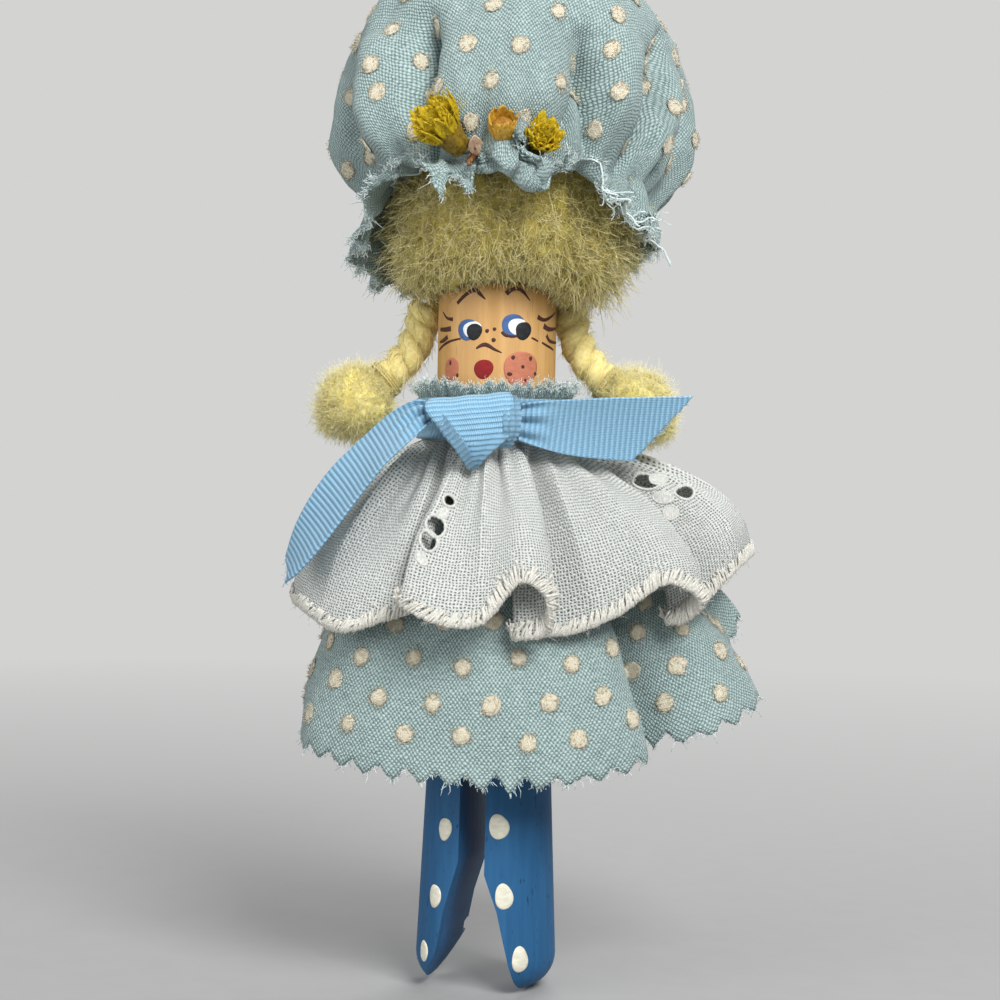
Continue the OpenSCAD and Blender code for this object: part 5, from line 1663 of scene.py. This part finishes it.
def mob_cap():
    rng = np.random.default_rng(29)
    b = np.linspace(0, 360, CAP_COLUMNS, endpoint=False)
    top_rise = math.degrees(math.acos(CROWN_TOP_GAP))
    rises = lerp(-GATHER_RISE, top_rise, np.linspace(0, 1, CROWN_STEPS))
    lower = np.linspace(1, 0, RUFFLE_STEPS + 1)[:-1]
    ruffle = np.array([ruffle_point(b, np.full_like(b, s)) for s in lower])
    crown = np.array([crown_point(b, np.full_like(b, r)) for r in rises])
    ruffle[0] += unit(ruffle[0] - ruffle[1]) * (0.45 * rough(ruffle[0], 1.2, 2.0))[:, None]
    grid = np.concatenate([ruffle, crown])
    soft = np.concatenate([np.full(RUFFLE_STEPS, 0.2), np.clip(np.linspace(0.1, 3, CROWN_STEPS), 0, 1)])
    worn = (1.0 * rough(grid, 8, 4.0) + 0.4 * rough(grid, 3.2, 8.0)) * soft[:, None]
    grid = cap_placed(grid + grid_normals(grid) * worn[..., None])
    length = run_along(grid)
    from_top = length[-1:] - length
    from_top = np.concatenate([from_top, from_top[:, :1]], 1)
    whole = np.append(b, 360)
    obj = cloth("cap_cotton", grid, np.stack([from_top * sind(whole), from_top * cosd(whole)], -1), COTTON_T)
    dress_up(obj, COTTON, replaces=["mob_cap"])

    # Flocked dots in staggered rows round the crown
    mean = from_top[:, :-1].mean(1)
    spots = []
    for k in range(CAP_DOT_ROWS):
        row = int(np.argmin(np.abs(mean - (CAP_DOT_TOP + DOT_ROWS * k))))
        if row < RUFFLE_STEPS + 2:
            break
        around = np.linalg.norm(np.roll(grid[row], -1, 0) - grid[row], axis=1)
        count = max(3, round(around.sum() / CAP_DOT_PITCH))
        run = np.cumsum(around)
        for i in range(count):
            along = (i + (k % 2) / 2 + 0.15 + rng.normal(0, 0.05)) * run[-1] / count % run[-1]
            c = int(np.searchsorted(run, along)) % CAP_COLUMNS
            spots.append((row + int(rng.integers(-1, 2)), c))
    dots = piece("cap_dots", dots_on(grid, spots, CAP_DOT_R, rng), FLOCK)

    # Threads that have come loose along the ruffle, longer at the crumpled front
    edge, way = grid[0], grid[0] - grid[2]
    count, long, width, stray = CAP_FRAY
    pick = rng.integers(0, CAP_COLUMNS, count)
    pick = pick[np.abs(apart(b[pick], BUD_AT[0])) > FRAY_GAP]
    starts = edge[pick] + rng.normal(0, stray, (len(pick), 3))
    loose = [frayed(starts, way[pick], long, width, rng)]
    count, long, width = CAP_LONG_FRAY
    some = pick[(b[pick] > LONG_FRAY_FROM) & (b[pick] < LONG_FRAY_TO)][:count]
    loose.append(frayed(edge[some], way[some], long, width, rng, spread=0.6, curl=0.7, stations=7))
    for _ in range(CAP_STRANDS):
        first = int(rng.uniform(STRAND_FROM, LONG_FRAY_TO) / 360 * CAP_COLUMNS)
        path = edge[first:first + int(rng.integers(10, 34))]
        drift = np.linspace(0, 1, len(path))[:, None]**2 * rng.normal(0, 1.2, 3) + rng.normal(0, 0.25, 3)
        loose.append(tube(path + drift + 0.05 * rng.normal(size=path.shape), CAP_STRAND_R, 5))
    fray = piece("cap_fray", joined(loose), LINT)
    gather = grid[RUFFLE_STEPS] - grid_normals(grid)[RUFFLE_STEPS] * CAP_THREAD_IN
    thread = piece("cap_gathering_thread", tube(gather, CAP_THREAD_R, 6, closed=True), SEWING,
                   replaces=["cap_thread"])


def cap_fill():
    """Loose fibre inside the crown."""
    a = np.linspace(0, 360, FILL_COLUMNS, endpoint=False)
    rises = np.linspace(*FILL_RISES, FILL_STEPS)
    rings = np.array([crown_point(a, np.full_like(a, rise)) for rise in rises])
    x, y, z = np.moveaxis(rings, -1, 0)
    z = np.where(z > CROWN_LOW_H, CROWN_LOW_H + (z - CROWN_LOW_H) * FILL_TOP_SHARE, z)
    rings = np.stack([x * FILL_SHARE, y * FILL_SHARE, z], -1)
    rings = rings + unit(rings - (0, 0, CROWN_LOW_H)) * (0.5 * rough(rings, 5, 6.0))[..., None]
    # The fill is painted a little toward the root tone, as shade inside the crown.
    fill = piece("cap_fill", skin(cap_placed(rings)), FILL, replaces=["cap_stuffing"],
                 tip=np.full(rings.size // 3, 0.6))


mob_cap()
cap_fill()


# Dried flowers

def standing(points, at, r, lean, side=0):
    """Sets points that stand on zero upon the crown's wall, leaning away from it and to a side."""
    x, y, z = np.moveaxis(points, -1, 0)
    x, z = spun(x, z, -side)
    y, z = spun(y, z, lean)
    bearing, rise = np.array(at, float)
    return cap_placed(np.stack([*spun(x, y, bearing), z], -1) + crown_point(bearing, rise, r + FLOWER_STAND))


def petal_blade(length, width, cupped, curl, rng, rows=9, columns=7):
    """A blade that stands on zero, cupped across and curled back at its tip."""
    v = np.linspace(0, 1, rows)[:, None]
    u = np.linspace(-1, 1, columns)
    half = width / 2 * np.sin(np.pi * np.clip(v * 0.86 + 0.1, 0, 1))**0.7
    x = half * u
    y = -cupped * u**2 * half + curl * v**2 + 0.06 * rng.normal(size=(rows, columns)) * v
    z = length * (v - 0.08 * u**2 * v)
    return np.stack(np.broadcast_arrays(x, y, z), -1)


def sheet_shape(grid, thickness):
    """A closed thin blade on an open grid."""
    rows, columns = grid.shape[:2]
    normal = grid_normals(grid, closed=False) * thickness / 2
    near, far = (grid + normal).reshape(-1, 3), (grid - normal).reshape(-1, 3)
    index = np.arange(rows * columns).reshape(rows, columns)
    rim = np.concatenate([index[0], index[1:, -1], index[-1, -2::-1], index[-2:0:-1, 0]])
    after = np.roll(rim, -1)
    size = rows * columns
    front = band(rows, columns, False)
    edge = np.stack([after, rim, rim + size, after + size], -1)
    return np.concatenate([near, far]), [front, front[:, ::-1] + size, edge]


def flower(name, at, d, h, lean, side, seed, blades, hairs):
    """A dry button flower: an olive cup, rings of ragged narrow petals, and a heart of fine florets."""
    rng = np.random.default_rng(seed)

    def set_up(points):
        return standing(points, at, d / 2 * 0.42, lean, side)
    a = np.linspace(0, 360, CUP_SIDES, endpoint=False)
    rings = []
    for share, height in CUP:
        r = d / 2 * share * (1 + 0.08 * rng.normal(size=CUP_SIDES))
        rings.append(np.stack([r * cosd(a), r * sind(a), np.full(CUP_SIDES, h * height)], -1))
    piece(name + "_cup", skin(set_up(np.array(rings))), OLIVE_DRY, replaces=[name])
    shapes = []
    for k in range(blades):
        turn = k * GOLDEN_ANGLE + rng.uniform(-12, 12)
        ring = 1 - 0.55 * k / blades
        long, wide = h * rng.uniform(0.3, 0.55), d * rng.uniform(0.18, 0.3)
        x, y, z = np.moveaxis(petal_blade(long, wide, 0.4, rng.uniform(-0.6, 0.4), rng), -1, 0)
        y = y - d / 2 * ring * (0.62 + 0.8 * z / h)
        shapes.append(sheet_shape(set_up(np.stack([*spun(x, y, turn), z + h * 0.45], -1)), FLORET_T))
    a = rng.uniform(0, 360, hairs)
    r = np.sqrt(rng.uniform(0, 1, hairs))
    starts = np.stack([d * 0.3 * r * cosd(a), d * 0.3 * r * sind(a), np.full(hairs, h * 0.56)], -1)
    ways = np.stack([0.7 * r * cosd(a), 0.7 * r * sind(a), np.full(hairs, 0.9)], -1)
    ends = starts + (ways + rng.normal(0, 0.2, (hairs, 3)))
    lengths, widths = rng.uniform(0.15, 0.36, hairs) * h, rng.uniform(0.1, 0.22, hairs)
    florets = fibres(set_up(starts), set_up(ends) - set_up(starts), lengths, widths, 0.4, rng)[0]
    piece(name + "_petals", joined([*shapes, florets]), YELLOW_DRY)


def bud_and_petals(rng):
    """A papery bud with a brown heart, and two loose petals beside it."""
    shapes = []
    for k, turn in enumerate(np.arange(0, 360, 360 / BUD_PETALS)):
        blade = petal_blade(rng.uniform(*BUD_PETAL_LONG), BUD_PETAL_W, 0.35, 0.2, rng)
        x, y, z = np.moveaxis(blade, -1, 0)
        y = y + (0.75 + 0.85 * np.sin(np.clip(z / BUD_H, 0, 1) * 2.4) + 0.12 * (k % 2))
        blade = standing(np.stack([*spun(x, y, turn), z], -1), BUD_AT, BUD_R, BUD_LEAN)
        shapes.append(sheet_shape(blade, BUD_PETAL_T))
    piece("bud_petals", joined(shapes), PAPER_DRY, replaces=["flower_bud"])
    a = np.linspace(0, 360, HEART_SIDES, endpoint=False)
    rings = [np.stack([r * cosd(a), r * sind(a), np.full(HEART_SIDES, z)], -1) for r, z in BUD_HEART]
    heart = np.array(rings)
    piece("bud_heart", skin(standing(heart, BUD_AT, BUD_R, BUD_LEAN)), HEART_DRY)
    blades = [petal_blade(*petal, rng) + np.array(LOOSE_SHIFT) * i for i, petal in enumerate(LOOSE_PETALS)]
    shape = joined([sheet_shape(standing(p, PETAL_AT, PETAL_R, PETAL_LEAN), LOOSE_T) for p in blades])
    piece("loose_petals", shape, PINK_DRY, replaces=["flower_petal"])


def stem_ends(rng):
    """Ends of the stems between the flowers, each with splinters."""
    shapes = []
    for neighbour, share, drop in STEMS:
        b = lerp(BUD_AT[0], neighbour[0], share)
        root = crown_point(np.array(float(b)), np.array(-GATHER_RISE))
        first, last = root + bearing_point(b, *STEM_START), root + bearing_point(b, STEM_OUT, -drop)
        line = lerp(first, last, np.linspace(0, 1, 8)[:, None])
        line = line + 0.08 * rng.normal(size=line.shape)
        shapes.append(tube(cap_placed(line), STEM_R * np.linspace(1, 0.6, 8), 7))
        for _ in range(SPLINTERS):
            lean = rng.normal(0, 0.5, 3) + (0, 0, 0.4)
            splinter = lerp(first, first + (last - first) * 0.7 + lean, np.linspace(0, 1, 4)[:, None])
            shapes.append(tube(cap_placed(splinter), SPLINTER_R * np.linspace(1, 0.5, 4), 5))
    piece("stem_ends", joined(shapes), STEM_DRY, replaces=["flower_stems"])


flower("flower_left", FLOWER_LEFT_AT, *FLOWER_LEFT)
flower("flower_right", FLOWER_RIGHT_AT, *FLOWER_RIGHT)
plant_draws = np.random.default_rng(41)
bud_and_petals(plant_draws)
stem_ends(plant_draws)

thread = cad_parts["dress_thread"]
thread.data.materials.clear()
thread.data.materials.append(SEWING)
